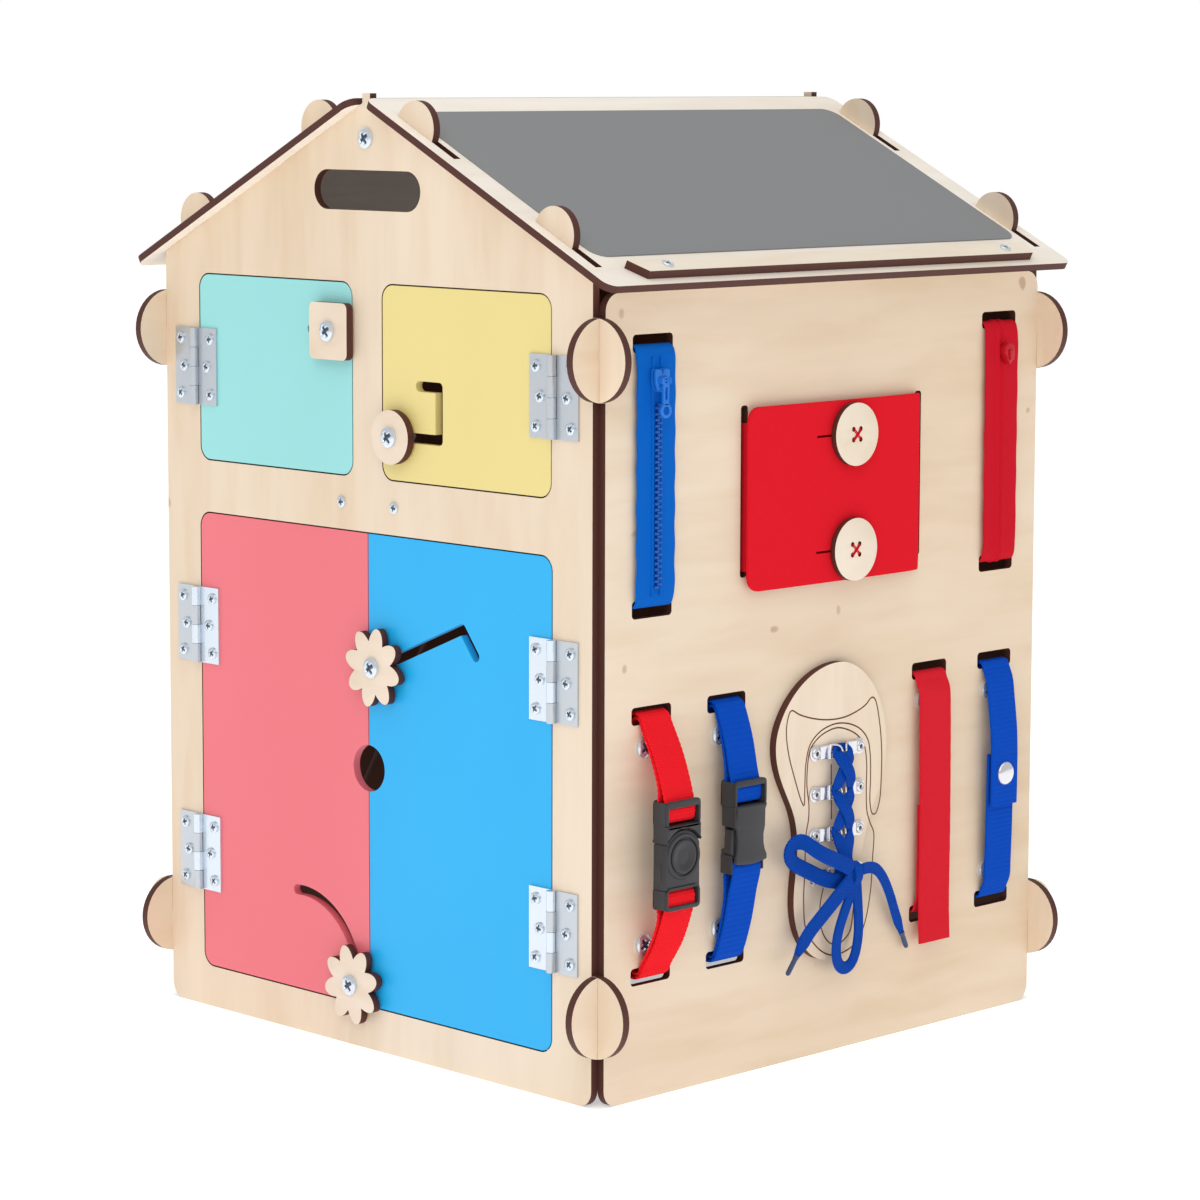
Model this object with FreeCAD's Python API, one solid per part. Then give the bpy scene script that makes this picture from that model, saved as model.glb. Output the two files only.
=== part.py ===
"""Wooden busy board shaped like a house: four slotted plywood panels, two hooked roof panels,
four doors with sliding latches on the front and a wall of fastenings on the right side.

Millimetres, +Z up, the front gable faces -Y, the origin is the bottom middle of the whole outline.
"""
import FreeCAD
import Part
import math
import os

# Panels
HOUSE = 310.0          # outer width and depth over the panels
PLY = 4.0              # thickness of walls, doors, knobs and boards
ROOF_T = 3.5           # thickness of the two roof panels
APEX_Z = 453.0         # where both slopes of a gable meet
SLOPE = 26.5           # roof pitch in degrees
WALL_TOP = 369.0       # upper edge of the side walls
APEX_BOLT_Z = 435.3
CORNER_R = 8.0         # rounded panel corners
FIT = 0.1              # clearance of one board in another board's slot

# Half-disc tabs where the panels cross
TAB_R = 19.0
TAB_OUT = 1.3          # how far the disc centre lies outside the panel's edge
TAB_HEIGHTS = (42.5, 339.5)

# Hooked tabs of the gables and their slots in the roof
HOOK_R = 13.0
HOOK_S = (36.0, 139.0)   # down the slope from the apex
HOOK_LIP = 5.0           # how far the hook reaches over the roof
ROOF_SLOT_FREE = 17.0    # empty slot below each hook, which lets the roof slide off
NIB_W = 5.4
NIB_H = 3.2

# Roof panels
ROOF_TOP_S = 5.0
ROOF_EAVE_S = 186.2
ROOF_OVER = 6.8
ROOF_CORNER_R = 6.0
CHALK_T = 0.5
CHALK_S = (20.0, 160.5)
CHALK_HALF = 147.0
CHALK_R = 8.0
LEDGE_S = (170.8, 181.3)
LEDGE_HALF = 139.0
LEDGE_SCREW_HALF = 118.0

# Openings of the front gable
MULLION = 20.6
DOOR_EDGE = 125.0        # outer edge of the openings from the middle
UPPER_Z = (275.5, 368.0)
LOWER_Z = (20.5, 250.0)
OPEN_R = 7.5
DOOR_GAP = 0.7
HANDLE_W = 75.0
HANDLE_H = 18.8
HANDLE_Z = 411.0
FINGER_R = 11.2
FINGER_Z = 136.8

# Doors' hinges
HINGE_X = 127.0          # hinge axis from the middle
LEAF_W = 15.7
LEAF_H = 38.0
LEAF_T = 1.0
KNUCKLE_R = 2.2
PIN_R = 1.1
PIN_CLEAR = 0.05
KNUCKLE_GAP = 0.2
KNUCKLES = 4
UPPER_HINGE_Z = (321.8,)
LOWER_HINGE_Z = (78.4, 193.2)
SCREW_ROWS = ((11.2, 13.6), (8.6, 0.0), (11.2, -13.6))   # from the axis, from the middle height

# Small pan-head screws
SCREW_HEAD_R = 2.8
SCREW_HEAD_H = 1.3
SCREW_R = 1.2
SCREW_LEN = 3.6
PILOT_CLEAR = 0.05

# Bolts with washers and nuts
BOLT_HEAD_R = 4.8
BOLT_HEAD_H = 2.4
BOLT_R = 2.0
NUT_R = 4.0
NUT_H = 3.0
WASHER_R = 4.9
WASHER_T = 0.8
SLIDE_PLAY = 0.1         # between a sliding washer and the door
SPACER_T = 1.4           # spacer that holds a knob off its door
LATCH_SLOT = 5.0         # width of the slots that the bolts slide in

# Latches of the doors, places of the bolt on the front face
SQUARE_KNOB = (-22.0, 344.3)
SQUARE_SIZE = 27.0
SQUARE_R = 3.0
SQUARE_TRAVEL = 18.5
ROUND_KNOB = (21.6, 296.8)
ROUND_R = 12.8
ROUND_TRAVEL = 28.4
HOOK_SLOT_RISE = 24.4
HOOK_SLOT_BACK = 13.5
FLOWER_R = 19.2
FLOWER_CORE_R = 13.2
PETAL_R = 5.0
PETALS = 8
BLUE_FLOWER = (8.6, 186.6)
BLUE_APEX = (65.5, 210.4)
BLUE_SLOT_END = (74.6, 198.6)
PINK_ARC_CENTRE = (-49.5, 28.5)
PINK_ARC_R = 41.6
PINK_ARC_START = 3.5     # degrees, where the flower rests
PINK_ARC_TRAVEL = 92.0

# Block behind the middle rail that the doors close against
STOP_W = 62.0
STOP_Z = (242.0, 284.0)
STOP_T = 8.0
STOP_SCREW_X = 18.7
STOP_SCREW_Z = 263.0

# Straight sloping slot of the left wall, ends on the wall seen from outside
LEFT_SLOT = (28.0, 90.0, -20.0, 168.0)
LEFT_SLOT_W = 3.0

# Slots and straps of the right wall
STRAP_W = 24.6
STRAP_SLOT_W = 25.6
STRAP_SLOT_H = 8.2
STRAP_T = 1.6
BAND_STEPS = 3           # short flats between two points of a strap's line
OUTER_COLUMN = 121.2     # distance of the outer columns from the middle
INNER_COLUMN = 71.8
ZIP_SLOT_Z = (226.0, 346.0)
STRAP_SLOT_Z = (57.6, 177.6)
TAIL = 26.0              # tail of a strap behind the wall
STRAP_BOLT_IN = 14.6     # bolt's distance from its slot
STRAP_BOLT_SIDE = 5.0

# Zips
TAPE_BEND = 11.0
TOOTH_W = 3.0
TOOTH_H = 1.35
TOOTH_PITCH = 2.7
TOOTH_T = 1.5
ZIP_TEETH_Z = (236.0, 320.0)
SLIDER_W = 9.0
SLIDER_H = 10.5
SLIDER_Z = 329.5
SLIDER_TRAVEL = 84.0
PULL_PIN_R = 0.6
PULL_CLEAR = 0.08
PULL_L = 15.0

# Felt flap with two buttons
FLAP_T = 1.8
FLAP_Z = (228.0, 313.5)
FLAP_SLOT_Z = (235.6, 307.3)
FLAP_SLOT_U = 61.0
FLAP_SLOT_W = 4.6
FLAP_R = 7.0
UNDER_T = 1.2
UNDER_Z = (237.0, 306.0)
BUTTON_R = 15.0
BUTTON_T = 3.0
BUTTON_U = 1.5
BUTTON_ZS = (242.6, 297.2)
BUTTON_SLIT = 26.0
BUTTON_ROUND = 0.8
BUTTON_HOLE_R = 1.2
BUTTON_HOLE_HALF = 2.5
THREAD_R = 0.8

# Shoe board and lace
SHOE_OUTLINE = ((2, 189), (-18, 184.5), (-34, 172), (-42, 155), (-38, 136), (-29, 118), (-27, 98), (-29, 78),
                (-23, 57), (-6, 46.5), (9, 53), (16, 71), (19, 91), (24, 110), (33, 128), (36, 149), (30, 170),
                (17, 184))
HOOK_HALF = 15.7
LACE_MID = 1.7
LACE_ROWS = (87.6, 107.4, 127.0, 146.8)
LACE_R = 1.3
LACE_SIDES = 8           # the lace is drawn as a faceted tube
RING_R = 3.5
RING_WIRE = 0.5
CLIP_W = 7.0
CLIP_H = 8.0
CLIP_T = 0.8

# Buckles
BUCKLE_W = 29.0
BUCKLE_T = 9.0
BAR_R = 1.6
RED_BUCKLE_Z = (84.0, 137.0)
RED_BUCKLE_OUT = 10.5    # back of the buckle from the wall
BLUE_BUCKLE_Z = (95.0, 141.0)
BLUE_BUCKLE_OUT = 5.5
BAR_IN = 4.0             # bar from the end of the buckle
WINDOW = 11.0
CLICK_R = 8.6
CLICK_TRAVEL = 1.6
CLICK_PROUD = 0.7
CLICK_T = 1.4

HALF = HOUSE / 2
EDGE = HALF - PLY
SIN = math.sin(math.radians(SLOPE))
COS = math.cos(math.radians(SLOPE))
EAVE_Z = APEX_Z - EDGE * SIN / COS
AXIS_OUT = KNUCKLE_R
# The tabs reach furthest left and the red buckle furthest right; the origin is midway between them
SHIFT_X = (EDGE + TAB_OUT + TAB_R - HALF - RED_BUCKLE_OUT - BUCKLE_T - CLICK_PROUD) / 2
V = FreeCAD.Vector
os.makedirs("parts", exist_ok=True)


def placement(origin, x_dir, y_dir, z_dir):
    """Map local x, y, z to the given directions at the given origin."""
    matrix = FreeCAD.Matrix(x_dir[0], y_dir[0], z_dir[0], origin[0],
                            x_dir[1], y_dir[1], z_dir[1], origin[1],
                            x_dir[2], y_dir[2], z_dir[2], origin[2],
                            0, 0, 0, 1)
    return FreeCAD.Placement(matrix)


# Every board is drawn flat, x along it, y up and z out of its outer face
FRONT = placement((SHIFT_X, -HALF, 0), (1, 0, 0), (0, 0, 1), (0, -1, 0))
BACK = placement((SHIFT_X, HALF, 0), (-1, 0, 0), (0, 0, 1), (0, 1, 0))
RIGHT = placement((SHIFT_X + HALF, 0, 0), (0, 1, 0), (0, 0, 1), (1, 0, 0))
LEFT = placement((SHIFT_X - HALF, 0, 0), (0, -1, 0), (0, 0, 1), (-1, 0, 0))
ROOF_R = placement((SHIFT_X, 0, APEX_Z), (0, 1, 0), (-COS, 0, SIN), (SIN, 0, COS))
ROOF_L = placement((SHIFT_X, 0, APEX_Z), (0, -1, 0), (COS, 0, SIN), (-SIN, 0, COS))


def put(shape, where):
    moved = shape.copy()
    moved.transformShape(where.toMatrix())
    return moved


def box(x0, x1, y0, y1, z0, z1):
    return Part.makeBox(x1 - x0, y1 - y0, z1 - z0, V(x0, y0, z0))


def disc(x, y, radius, z0, z1):
    return Part.makeCylinder(radius, z1 - z0, V(x, y, z0))


def prism(points, z0, z1):
    wire = Part.makePolygon([V(x, y, z0) for x, y in points] + [V(points[0][0], points[0][1], z0)])
    return Part.Face(wire).extrude(V(0, 0, z1 - z0))


def rounded(x0, x1, y0, y1, radius, z0, z1):
    """A plate with four rounded corners."""
    plate = box(x0, x1, y0, y1, z0, z1)
    edges = [e for e in plate.Edges if abs(e.BoundBox.ZLength - (z1 - z0)) < 1e-6]
    return plate.makeFillet(radius, edges)


def stadium(x0, y0, x1, y1, width, z0, z1):
    """A slot's solid: two round ends joined by a straight run."""
    angle = math.atan2(y1 - y0, x1 - x0)
    side_x = -math.sin(angle) * width / 2
    side_y = math.cos(angle) * width / 2
    points = [(x0 + side_x, y0 + side_y), (x0 - side_x, y0 - side_y), (x1 - side_x, y1 - side_y),
              (x1 + side_x, y1 + side_y)]
    ends = [disc(x0, y0, width / 2, z0, z1), disc(x1, y1, width / 2, z0, z1)]
    return prism(points, z0, z1).fuse(ends).removeSplitter()


def fuse(shapes):
    return shapes[0].fuse(shapes[1:]).removeSplitter()


def at_height(z):
    return lambda edge: edge.BoundBox.ZLength < 1e-6 and abs(edge.BoundBox.ZMin - z) < 1e-6


def save(name, shapes):
    shape = shapes if isinstance(shapes, Part.Shape) else Part.makeCompound(shapes)
    shape.exportStep("parts/" + name + ".step")
    solids = shape.Solids
    print(name, len(solids), "solids", round(sum(s.Volume for s in solids)), "mm3", shape.isValid())


# Fasteners, drawn with their axis along z and their seat at the given height
def bolt(x, y, seat, length):
    head = disc(x, y, BOLT_HEAD_R, seat, seat + BOLT_HEAD_H)
    head = head.makeChamfer(BOLT_HEAD_H * 0.4, [e for e in head.Edges if at_height(seat + BOLT_HEAD_H)(e)])
    return head.fuse(disc(x, y, BOLT_R, seat - length, seat)).removeSplitter()


def screw(x, y, seat, length=SCREW_LEN):
    head = disc(x, y, SCREW_HEAD_R, seat, seat + SCREW_HEAD_H)
    head = head.makeChamfer(SCREW_HEAD_H * 0.45, [e for e in head.Edges if at_height(seat + SCREW_HEAD_H)(e)])
    return head.fuse(disc(x, y, SCREW_R, seat - length, seat)).removeSplitter()


def ring(x, y, outer, inner, z0, z1):
    return disc(x, y, outer, z0, z1).cut(disc(x, y, inner, z0 - 1, z1 + 1))


def nut(x, y, z0):
    corners = [(x + NUT_R * math.cos(math.radians(60 * i)), y + NUT_R * math.sin(math.radians(60 * i)))
               for i in range(6)]
    return prism(corners, z0, z0 + NUT_H).cut(disc(x, y, BOLT_R + PILOT_CLEAR, z0 - 1, z0 + NUT_H + 1))


def washer(x, y, z0):
    return ring(x, y, WASHER_R, BOLT_R + PILOT_CLEAR, z0, z0 + WASHER_T)


# Panels
def corner_tab(side, height):
    return disc(side * (EDGE + TAB_OUT), height, TAB_R, -PLY, 0)


def tab_notch(side, height, upper):
    """The half slot that lets the neighbour's tab cross this one."""
    x0, x1 = sorted((side * EDGE, side * (HALF + FIT)))
    reach = TAB_R + 1
    y0, y1 = (height, height + reach) if upper else (height - reach, height)
    return box(x0, x1, y0, y1, -PLY - 1, 1)


def on_slope(side, s, height):
    """A point s down the slope from the apex and some height over the gable's sloping edge."""
    return (side * (s * COS + height * SIN), APEX_Z - s * SIN + height * COS)


def hook_tab(side, s):
    x, y = on_slope(side, s, ROOF_T)
    return disc(x, y, HOOK_R, -PLY, 0)


def hook_notch(side, s):
    """The gap under the hook's lip, where the roof's edge of the slot sits."""
    s0 = s - HOOK_R - 2
    s1 = s - HOOK_R + HOOK_LIP
    top = ROOF_T + FIT
    return prism([on_slope(side, s0, 0), on_slope(side, s0, top), on_slope(side, s1, top), on_slope(side, s1, 0)],
                 -PLY - 1, 1)


def gable():
    body = prism([(-EDGE, 0), (EDGE, 0), (EDGE, EAVE_Z), (0, APEX_Z), (-EDGE, EAVE_Z)], -PLY, 0)
    bottom = [e for e in body.Edges if e.BoundBox.ZLength > 1 and e.BoundBox.YMax < 1e-6]
    body = body.makeFillet(CORNER_R, bottom)
    pieces = [corner_tab(side, h) for side in (-1, 1) for h in TAB_HEIGHTS]
    cuts = [tab_notch(side, h, False) for side in (-1, 1) for h in TAB_HEIGHTS]
    pieces += [hook_tab(side, s) for side in (-1, 1) for s in HOOK_S]
    cuts += [hook_notch(side, s) for side in (-1, 1) for s in HOOK_S]
    nib_top = APEX_Z + NIB_H
    pieces.append(box(-NIB_W / 2, NIB_W / 2, APEX_Z - NIB_W, nib_top, -PLY, 0))
    body = body.fuse(pieces).cut(cuts).removeSplitter()
    body = body.cut(stadium(-(HANDLE_W - HANDLE_H) / 2, HANDLE_Z, (HANDLE_W - HANDLE_H) / 2, HANDLE_Z, HANDLE_H,
                            -PLY - 1, 1))
    return body.cut(disc(0, APEX_BOLT_Z, BOLT_R + PILOT_CLEAR, -PLY - 1, 1))


def wall():
    body = box(-EDGE, EDGE, 0, WALL_TOP, -PLY, 0)
    corners = [e for e in body.Edges if e.BoundBox.ZLength > 1]
    body = body.makeFillet(CORNER_R, corners)
    pieces = [corner_tab(side, h) for side in (-1, 1) for h in TAB_HEIGHTS]
    cuts = [tab_notch(side, h, True) for side in (-1, 1) for h in TAB_HEIGHTS]
    return body.fuse(pieces).cut(cuts).removeSplitter()


def door_opening(x0, x1, z_range):
    return rounded(x0, x1, z_range[0], z_range[1], OPEN_R, -PLY - 1, 1)


HINGES = [(-1, z) for z in UPPER_HINGE_Z + LOWER_HINGE_Z] + [(1, z) for z in UPPER_HINGE_Z + LOWER_HINGE_Z]


def pilot(x, y, seat):
    return disc(x, y, SCREW_R + PILOT_CLEAR, seat - SCREW_LEN - PILOT_CLEAR, seat + 1)


def frame_pilots():
    holes = [pilot(side * (HINGE_X + out), z + up, 0) for side, z in HINGES for out, up in SCREW_ROWS]
    return holes


front = gable()
inner = MULLION / 2
front = front.cut([door_opening(-DOOR_EDGE, -inner, UPPER_Z), door_opening(inner, DOOR_EDGE, UPPER_Z),
                   door_opening(-DOOR_EDGE - 0.7, DOOR_EDGE + 0.7, LOWER_Z)])
stop_holes = [disc(x, STOP_SCREW_Z, SCREW_R + PILOT_CLEAR, -PLY - 1, 1) for x in (-STOP_SCREW_X, STOP_SCREW_X)]
front = front.cut(frame_pilots() + stop_holes)
save("front_panel", put(front, FRONT))
save("back_panel", put(gable(), BACK))
save("left_wall", put(wall().cut(stadium(*LEFT_SLOT, LEFT_SLOT_W, -PLY - 1, 1)), LEFT))

right = wall()
columns = []
for column in (-OUTER_COLUMN, OUTER_COLUMN):
    columns += [(column, z) for z in ZIP_SLOT_Z + STRAP_SLOT_Z]
for column in (-INNER_COLUMN, INNER_COLUMN):
    columns += [(column, z) for z in STRAP_SLOT_Z]
strap_slots = [rounded(u - STRAP_SLOT_W / 2, u + STRAP_SLOT_W / 2, z - STRAP_SLOT_H / 2, z + STRAP_SLOT_H / 2, 2.0,
                       -PLY - 1, 1) for u, z in columns]
flap_slots = [rounded(u - FLAP_SLOT_W / 2, u + FLAP_SLOT_W / 2, FLAP_SLOT_Z[0] - 1, FLAP_SLOT_Z[1] + 7, 1.5,
                      -PLY - 1, 1) for u in (-FLAP_SLOT_U, FLAP_SLOT_U)]
strap_bolts = []
for column in (-OUTER_COLUMN, -INNER_COLUMN, INNER_COLUMN, OUTER_COLUMN):
    strap_bolts.append((column - STRAP_BOLT_SIDE, STRAP_SLOT_Z[1] - STRAP_BOLT_IN))
    if column != INNER_COLUMN:
        strap_bolts.append((column - STRAP_BOLT_SIDE, STRAP_SLOT_Z[0] + STRAP_BOLT_IN))
bolt_holes = [disc(u, z, BOLT_R + PILOT_CLEAR, -PLY - 1, 1) for u, z in strap_bolts]
right = right.cut(strap_slots + flap_slots + bolt_holes)
save("right_wall", put(right, RIGHT))


# Roof
def roof_slots():
    slots = []
    for s in HOOK_S:
        upper = s - HOOK_R + HOOK_LIP - FIT
        lower = s + HOOK_R + ROOF_SLOT_FREE
        for side in (-1, 1):
            mid = side * (HALF - PLY / 2)
            half = PLY / 2 + FIT
            slots.append(box(mid - half, mid + half, -lower, -upper, -1, ROOF_T + 1))
    return slots


def roof_panel():
    reach = HALF + ROOF_OVER
    panel = rounded(-reach, reach, -ROOF_EAVE_S, -ROOF_TOP_S, ROOF_CORNER_R, 0, ROOF_T)
    return panel.cut(roof_slots())


save("left_roof", put(roof_panel(), ROOF_L))
right_roof = roof_panel()
ledge_s = (LEDGE_S[0] + LEDGE_S[1]) / 2
ledge_spots = [(u, -ledge_s) for u in (-LEDGE_SCREW_HALF, LEDGE_SCREW_HALF)]
ledge_top = ROOF_T + PLY
right_roof = right_roof.cut([disc(u, v, SCREW_R + PILOT_CLEAR, ROOF_T - 2.2, ROOF_T + 1) for u, v in ledge_spots])
save("right_roof", put(right_roof, ROOF_R))
chalk = rounded(-CHALK_HALF, CHALK_HALF, -CHALK_S[1], -CHALK_S[0], CHALK_R, ROOF_T, ROOF_T + CHALK_T)
save("chalkboard", put(chalk, ROOF_R))
end = LEDGE_S[1] - LEDGE_S[0]
ledge = prism([(-LEDGE_HALF, -LEDGE_S[0]), (-LEDGE_HALF + end / 2, -LEDGE_S[1]), (LEDGE_HALF - end / 2, -LEDGE_S[1]),
               (LEDGE_HALF, -LEDGE_S[0])], ROOF_T, ledge_top)
ledge = ledge.cut([disc(u, v, SCREW_R + PILOT_CLEAR, ROOF_T - 1, ledge_top + 1) for u, v in ledge_spots])
save("chalk_ledge", put(ledge, ROOF_R))


# Block behind the doors' edges; long screws hold it and the ledge, short ones the hinges
block = box(-STOP_W / 2, STOP_W / 2, STOP_Z[0], STOP_Z[1], -PLY - STOP_T, -PLY)
block_pilot = [disc(x, STOP_SCREW_Z, SCREW_R + PILOT_CLEAR, -PLY - STOP_T / 2, 1)
               for x in (-STOP_SCREW_X, STOP_SCREW_X)]
save("door_stop", put(block.cut(block_pilot), FRONT))
fixed_screws = [put(screw(u, v, ledge_top, PLY + 2.0), ROOF_R) for u, v in ledge_spots]
fixed_screws += [put(screw(x, STOP_SCREW_Z, 0, PLY + STOP_T / 2 - 0.2), FRONT)
                 for x in (-STOP_SCREW_X, STOP_SCREW_X)]
fixed_screws += [put(screw(side * (HINGE_X + out), z + up, LEAF_T), FRONT)
                 for side, z in HINGES for out, up in SCREW_ROWS]
save("frame_screws", fixed_screws)


# Hinges: four knuckles in turn on the two leaves, riding on one pin
def leaf(side, z, on_door):
    """One leaf with its knuckles; side is where the hinge sits, the door leaf points to the middle."""
    toward = -side if on_door else side
    x0 = side * HINGE_X
    far = x0 + toward * LEAF_W
    plate = box(min(x0, far), max(x0, far), z - LEAF_H / 2, z + LEAF_H / 2, 0, LEAF_T)
    plate = plate.cut(Part.makeCylinder(KNUCKLE_R + KNUCKLE_GAP, LEAF_H + 2, V(x0, z - LEAF_H / 2 - 1, AXIS_OUT),
                                        V(0, 1, 0)))
    plate = plate.cut([disc(x0 + toward * out, z + up, SCREW_R + PILOT_CLEAR, -1, LEAF_T + 1)
                       for out, up in SCREW_ROWS])
    step = LEAF_H / KNUCKLES
    barrels = []
    for i in range(KNUCKLES):
        if (i % 2 == 1) == on_door:
            low = z - LEAF_H / 2 + i * step + KNUCKLE_GAP / 2
            length = step - KNUCKLE_GAP
            barrel = Part.makeCylinder(KNUCKLE_R, length, V(x0, low, AXIS_OUT), V(0, 1, 0))
            root0, root1 = sorted((x0, x0 + toward * (KNUCKLE_R + 1.5)))
            barrel = barrel.fuse(box(root0, root1, low, low + length, 0, LEAF_T))
            bore = Part.makeCylinder(PIN_R + PIN_CLEAR, length + 2, V(x0, low - 1, AXIS_OUT), V(0, 1, 0))
            barrels.append(barrel.cut(bore))
    return plate.fuse(barrels).removeSplitter()


save("hinge_frame_leaves", [put(leaf(side, z, False), FRONT) for side, z in HINGES])
pins = [Part.makeCylinder(PIN_R, LEAF_H, V(side * HINGE_X, z - LEAF_H / 2, AXIS_OUT), V(0, 1, 0))
        for side, z in HINGES]
save("hinge_pins", [put(pin, FRONT) for pin in pins])


# Doors
def door(x0, x1, z_range, side, hinge_zs, cuts):
    gap = DOOR_GAP
    body = rounded(x0 + gap, x1 - gap, z_range[0] + gap, z_range[1] - gap, OPEN_R - gap, -PLY, 0)
    holes = [pilot(side * (HINGE_X - out), z + up, 0) for z in hinge_zs for out, up in SCREW_ROWS]
    return body.cut(cuts + holes)


def door_fittings(name, side, hinge_zs):
    save(name + "_hinge_leaf", [put(leaf(side, z, True), FRONT) for z in hinge_zs])
    screws = [screw(side * (HINGE_X - out), z + up, LEAF_T) for z in hinge_zs for out, up in SCREW_ROWS]
    save(name + "_door_screws", [put(s, FRONT) for s in screws])


def through(x0, y0, x1, y1):
    return stadium(x0, y0, x1, y1, LATCH_SLOT, -PLY - 1, 1)


turquoise_cut = [through(SQUARE_KNOB[0] - SQUARE_TRAVEL, SQUARE_KNOB[1], SQUARE_KNOB[0], SQUARE_KNOB[1])]
save("turquoise_door", put(door(-DOOR_EDGE, -inner, UPPER_Z, -1, UPPER_HINGE_Z, turquoise_cut), FRONT))
round_end = ROUND_KNOB[0] + ROUND_TRAVEL
round_top = ROUND_KNOB[1] + HOOK_SLOT_RISE
yellow_cut = [through(ROUND_KNOB[0], ROUND_KNOB[1], round_end, ROUND_KNOB[1]),
              through(round_end, ROUND_KNOB[1], round_end, round_top),
              through(round_end - HOOK_SLOT_BACK, round_top, round_end, round_top)]
save("yellow_door", put(door(inner, DOOR_EDGE, UPPER_Z, 1, UPPER_HINGE_Z, yellow_cut), FRONT))


def arc_slot():
    """Ring sector round the arc's centre with round ends."""
    start = math.radians(PINK_ARC_START)
    finish = math.radians(PINK_ARC_START + PINK_ARC_TRAVEL)
    middle = (start + finish) / 2
    cx, cy = PINK_ARC_CENTRE

    def spot(radius, angle):
        return V(cx + radius * math.cos(angle), cy + radius * math.sin(angle), -PLY - 1)

    outer = PINK_ARC_R + LATCH_SLOT / 2
    inner_r = PINK_ARC_R - LATCH_SLOT / 2
    edges = [Part.Arc(spot(outer, start), spot(outer, middle), spot(outer, finish)).toShape(),
             Part.makeLine(spot(outer, finish), spot(inner_r, finish)),
             Part.Arc(spot(inner_r, finish), spot(inner_r, middle), spot(inner_r, start)).toShape(),
             Part.makeLine(spot(inner_r, start), spot(outer, start))]
    sector = Part.Face(Part.Wire(edges)).extrude(V(0, 0, PLY + 2))
    ends = [disc(spot(PINK_ARC_R, a).x, spot(PINK_ARC_R, a).y, LATCH_SLOT / 2, -PLY - 1, 1) for a in (start, finish)]
    return sector.fuse(ends).removeSplitter()


wide = DOOR_EDGE + 0.7
finger = disc(0, FINGER_Z, FINGER_R, -PLY - 1, 1)
seam = DOOR_GAP / 2
pink = door(-wide, wide, LOWER_Z, -1, LOWER_HINGE_Z, [arc_slot(), finger])
pink = pink.common(box(-wide, -seam, 0, APEX_Z, -PLY, 0))
blue = door(-wide, wide, LOWER_Z, 1, LOWER_HINGE_Z, [finger, through(*(BLUE_FLOWER + BLUE_APEX)),
                                                     through(*(BLUE_APEX + BLUE_SLOT_END))])
blue = blue.common(box(seam, wide, 0, APEX_Z, -PLY, 0))
save("pink_door", put(pink, FRONT))
save("blue_door", put(blue, FRONT))
door_fittings("turquoise", -1, UPPER_HINGE_Z)
door_fittings("yellow", 1, UPPER_HINGE_Z)
door_fittings("pink", -1, LOWER_HINGE_Z)
door_fittings("blue", 1, LOWER_HINGE_Z)


# Latches: a wooden shape on a bolt that slides in the door's slot
KNOB_BACK = SLIDE_PLAY + SPACER_T
KNOB_FACE = KNOB_BACK + PLY


def latch_fixings(x, y):
    spacer = ring(x, y, WASHER_R, BOLT_R + PILOT_CLEAR, SLIDE_PLAY, KNOB_BACK)
    back = -PLY - SLIDE_PLAY - WASHER_T
    length = KNOB_FACE - back + NUT_H + 1.0
    return [bolt(x, y, KNOB_FACE, length), spacer, washer(x, y, back), nut(x, y, back - NUT_H)]


def bored(shape, x, y):
    return shape.cut(disc(x, y, BOLT_R + PILOT_CLEAR, 0, KNOB_FACE + 1))


def flower(x, y):
    core = disc(x, y, FLOWER_CORE_R, KNOB_BACK, KNOB_FACE)
    reach = FLOWER_R - PETAL_R
    petals = []
    for i in range(PETALS):
        angle = math.radians(360 / PETALS * (i + 0.5))
        petals.append(disc(x + reach * math.cos(angle), y + reach * math.sin(angle), PETAL_R, KNOB_BACK, KNOB_FACE))
    return bored(fuse([core] + petals), x, y)


half = SQUARE_SIZE / 2
square = rounded(SQUARE_KNOB[0] - half, SQUARE_KNOB[0] + half, SQUARE_KNOB[1] - half, SQUARE_KNOB[1] + half, SQUARE_R,
                 KNOB_BACK, KNOB_FACE)
pink_angle = math.radians(PINK_ARC_START)
PINK_FLOWER = (PINK_ARC_CENTRE[0] + PINK_ARC_R * math.cos(pink_angle),
               PINK_ARC_CENTRE[1] + PINK_ARC_R * math.sin(pink_angle))
save("square_knob", put(bored(square, *SQUARE_KNOB), FRONT))
save("round_knob", put(bored(disc(ROUND_KNOB[0], ROUND_KNOB[1], ROUND_R, KNOB_BACK, KNOB_FACE), *ROUND_KNOB), FRONT))
save("blue_door_flower", put(flower(*BLUE_FLOWER), FRONT))
save("pink_door_flower", put(flower(*PINK_FLOWER), FRONT))
for name, spot in (("square_knob", SQUARE_KNOB), ("round_knob", ROUND_KNOB), ("blue_flower", BLUE_FLOWER),
                   ("pink_flower", PINK_FLOWER)):
    save(name + "_fixings", [put(s, FRONT) for s in latch_fixings(*spot)])

# Bolts through the panels, with nuts behind
tail_back = -PLY - STRAP_T - 4 * FIT
panel_bolts = [put(bolt(0, APEX_BOLT_Z, 0, PLY + WASHER_T + NUT_H + 1), plane) for plane in (FRONT, BACK)]
panel_nuts = []
for plane in (FRONT, BACK):
    panel_nuts += [put(washer(0, APEX_BOLT_Z, -PLY - WASHER_T), plane),
                   put(nut(0, APEX_BOLT_Z, -PLY - WASHER_T - NUT_H), plane)]
for u, z in strap_bolts:
    panel_bolts.append(put(bolt(u, z, 0, PLY + STRAP_T + WASHER_T + NUT_H + 1.2), RIGHT))
    panel_nuts += [put(washer(u, z, tail_back - WASHER_T), RIGHT),
                   put(nut(u, z, tail_back - WASHER_T - NUT_H), RIGHT)]
save("panel_bolts", panel_bolts)
save("panel_nuts", panel_nuts)


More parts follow.
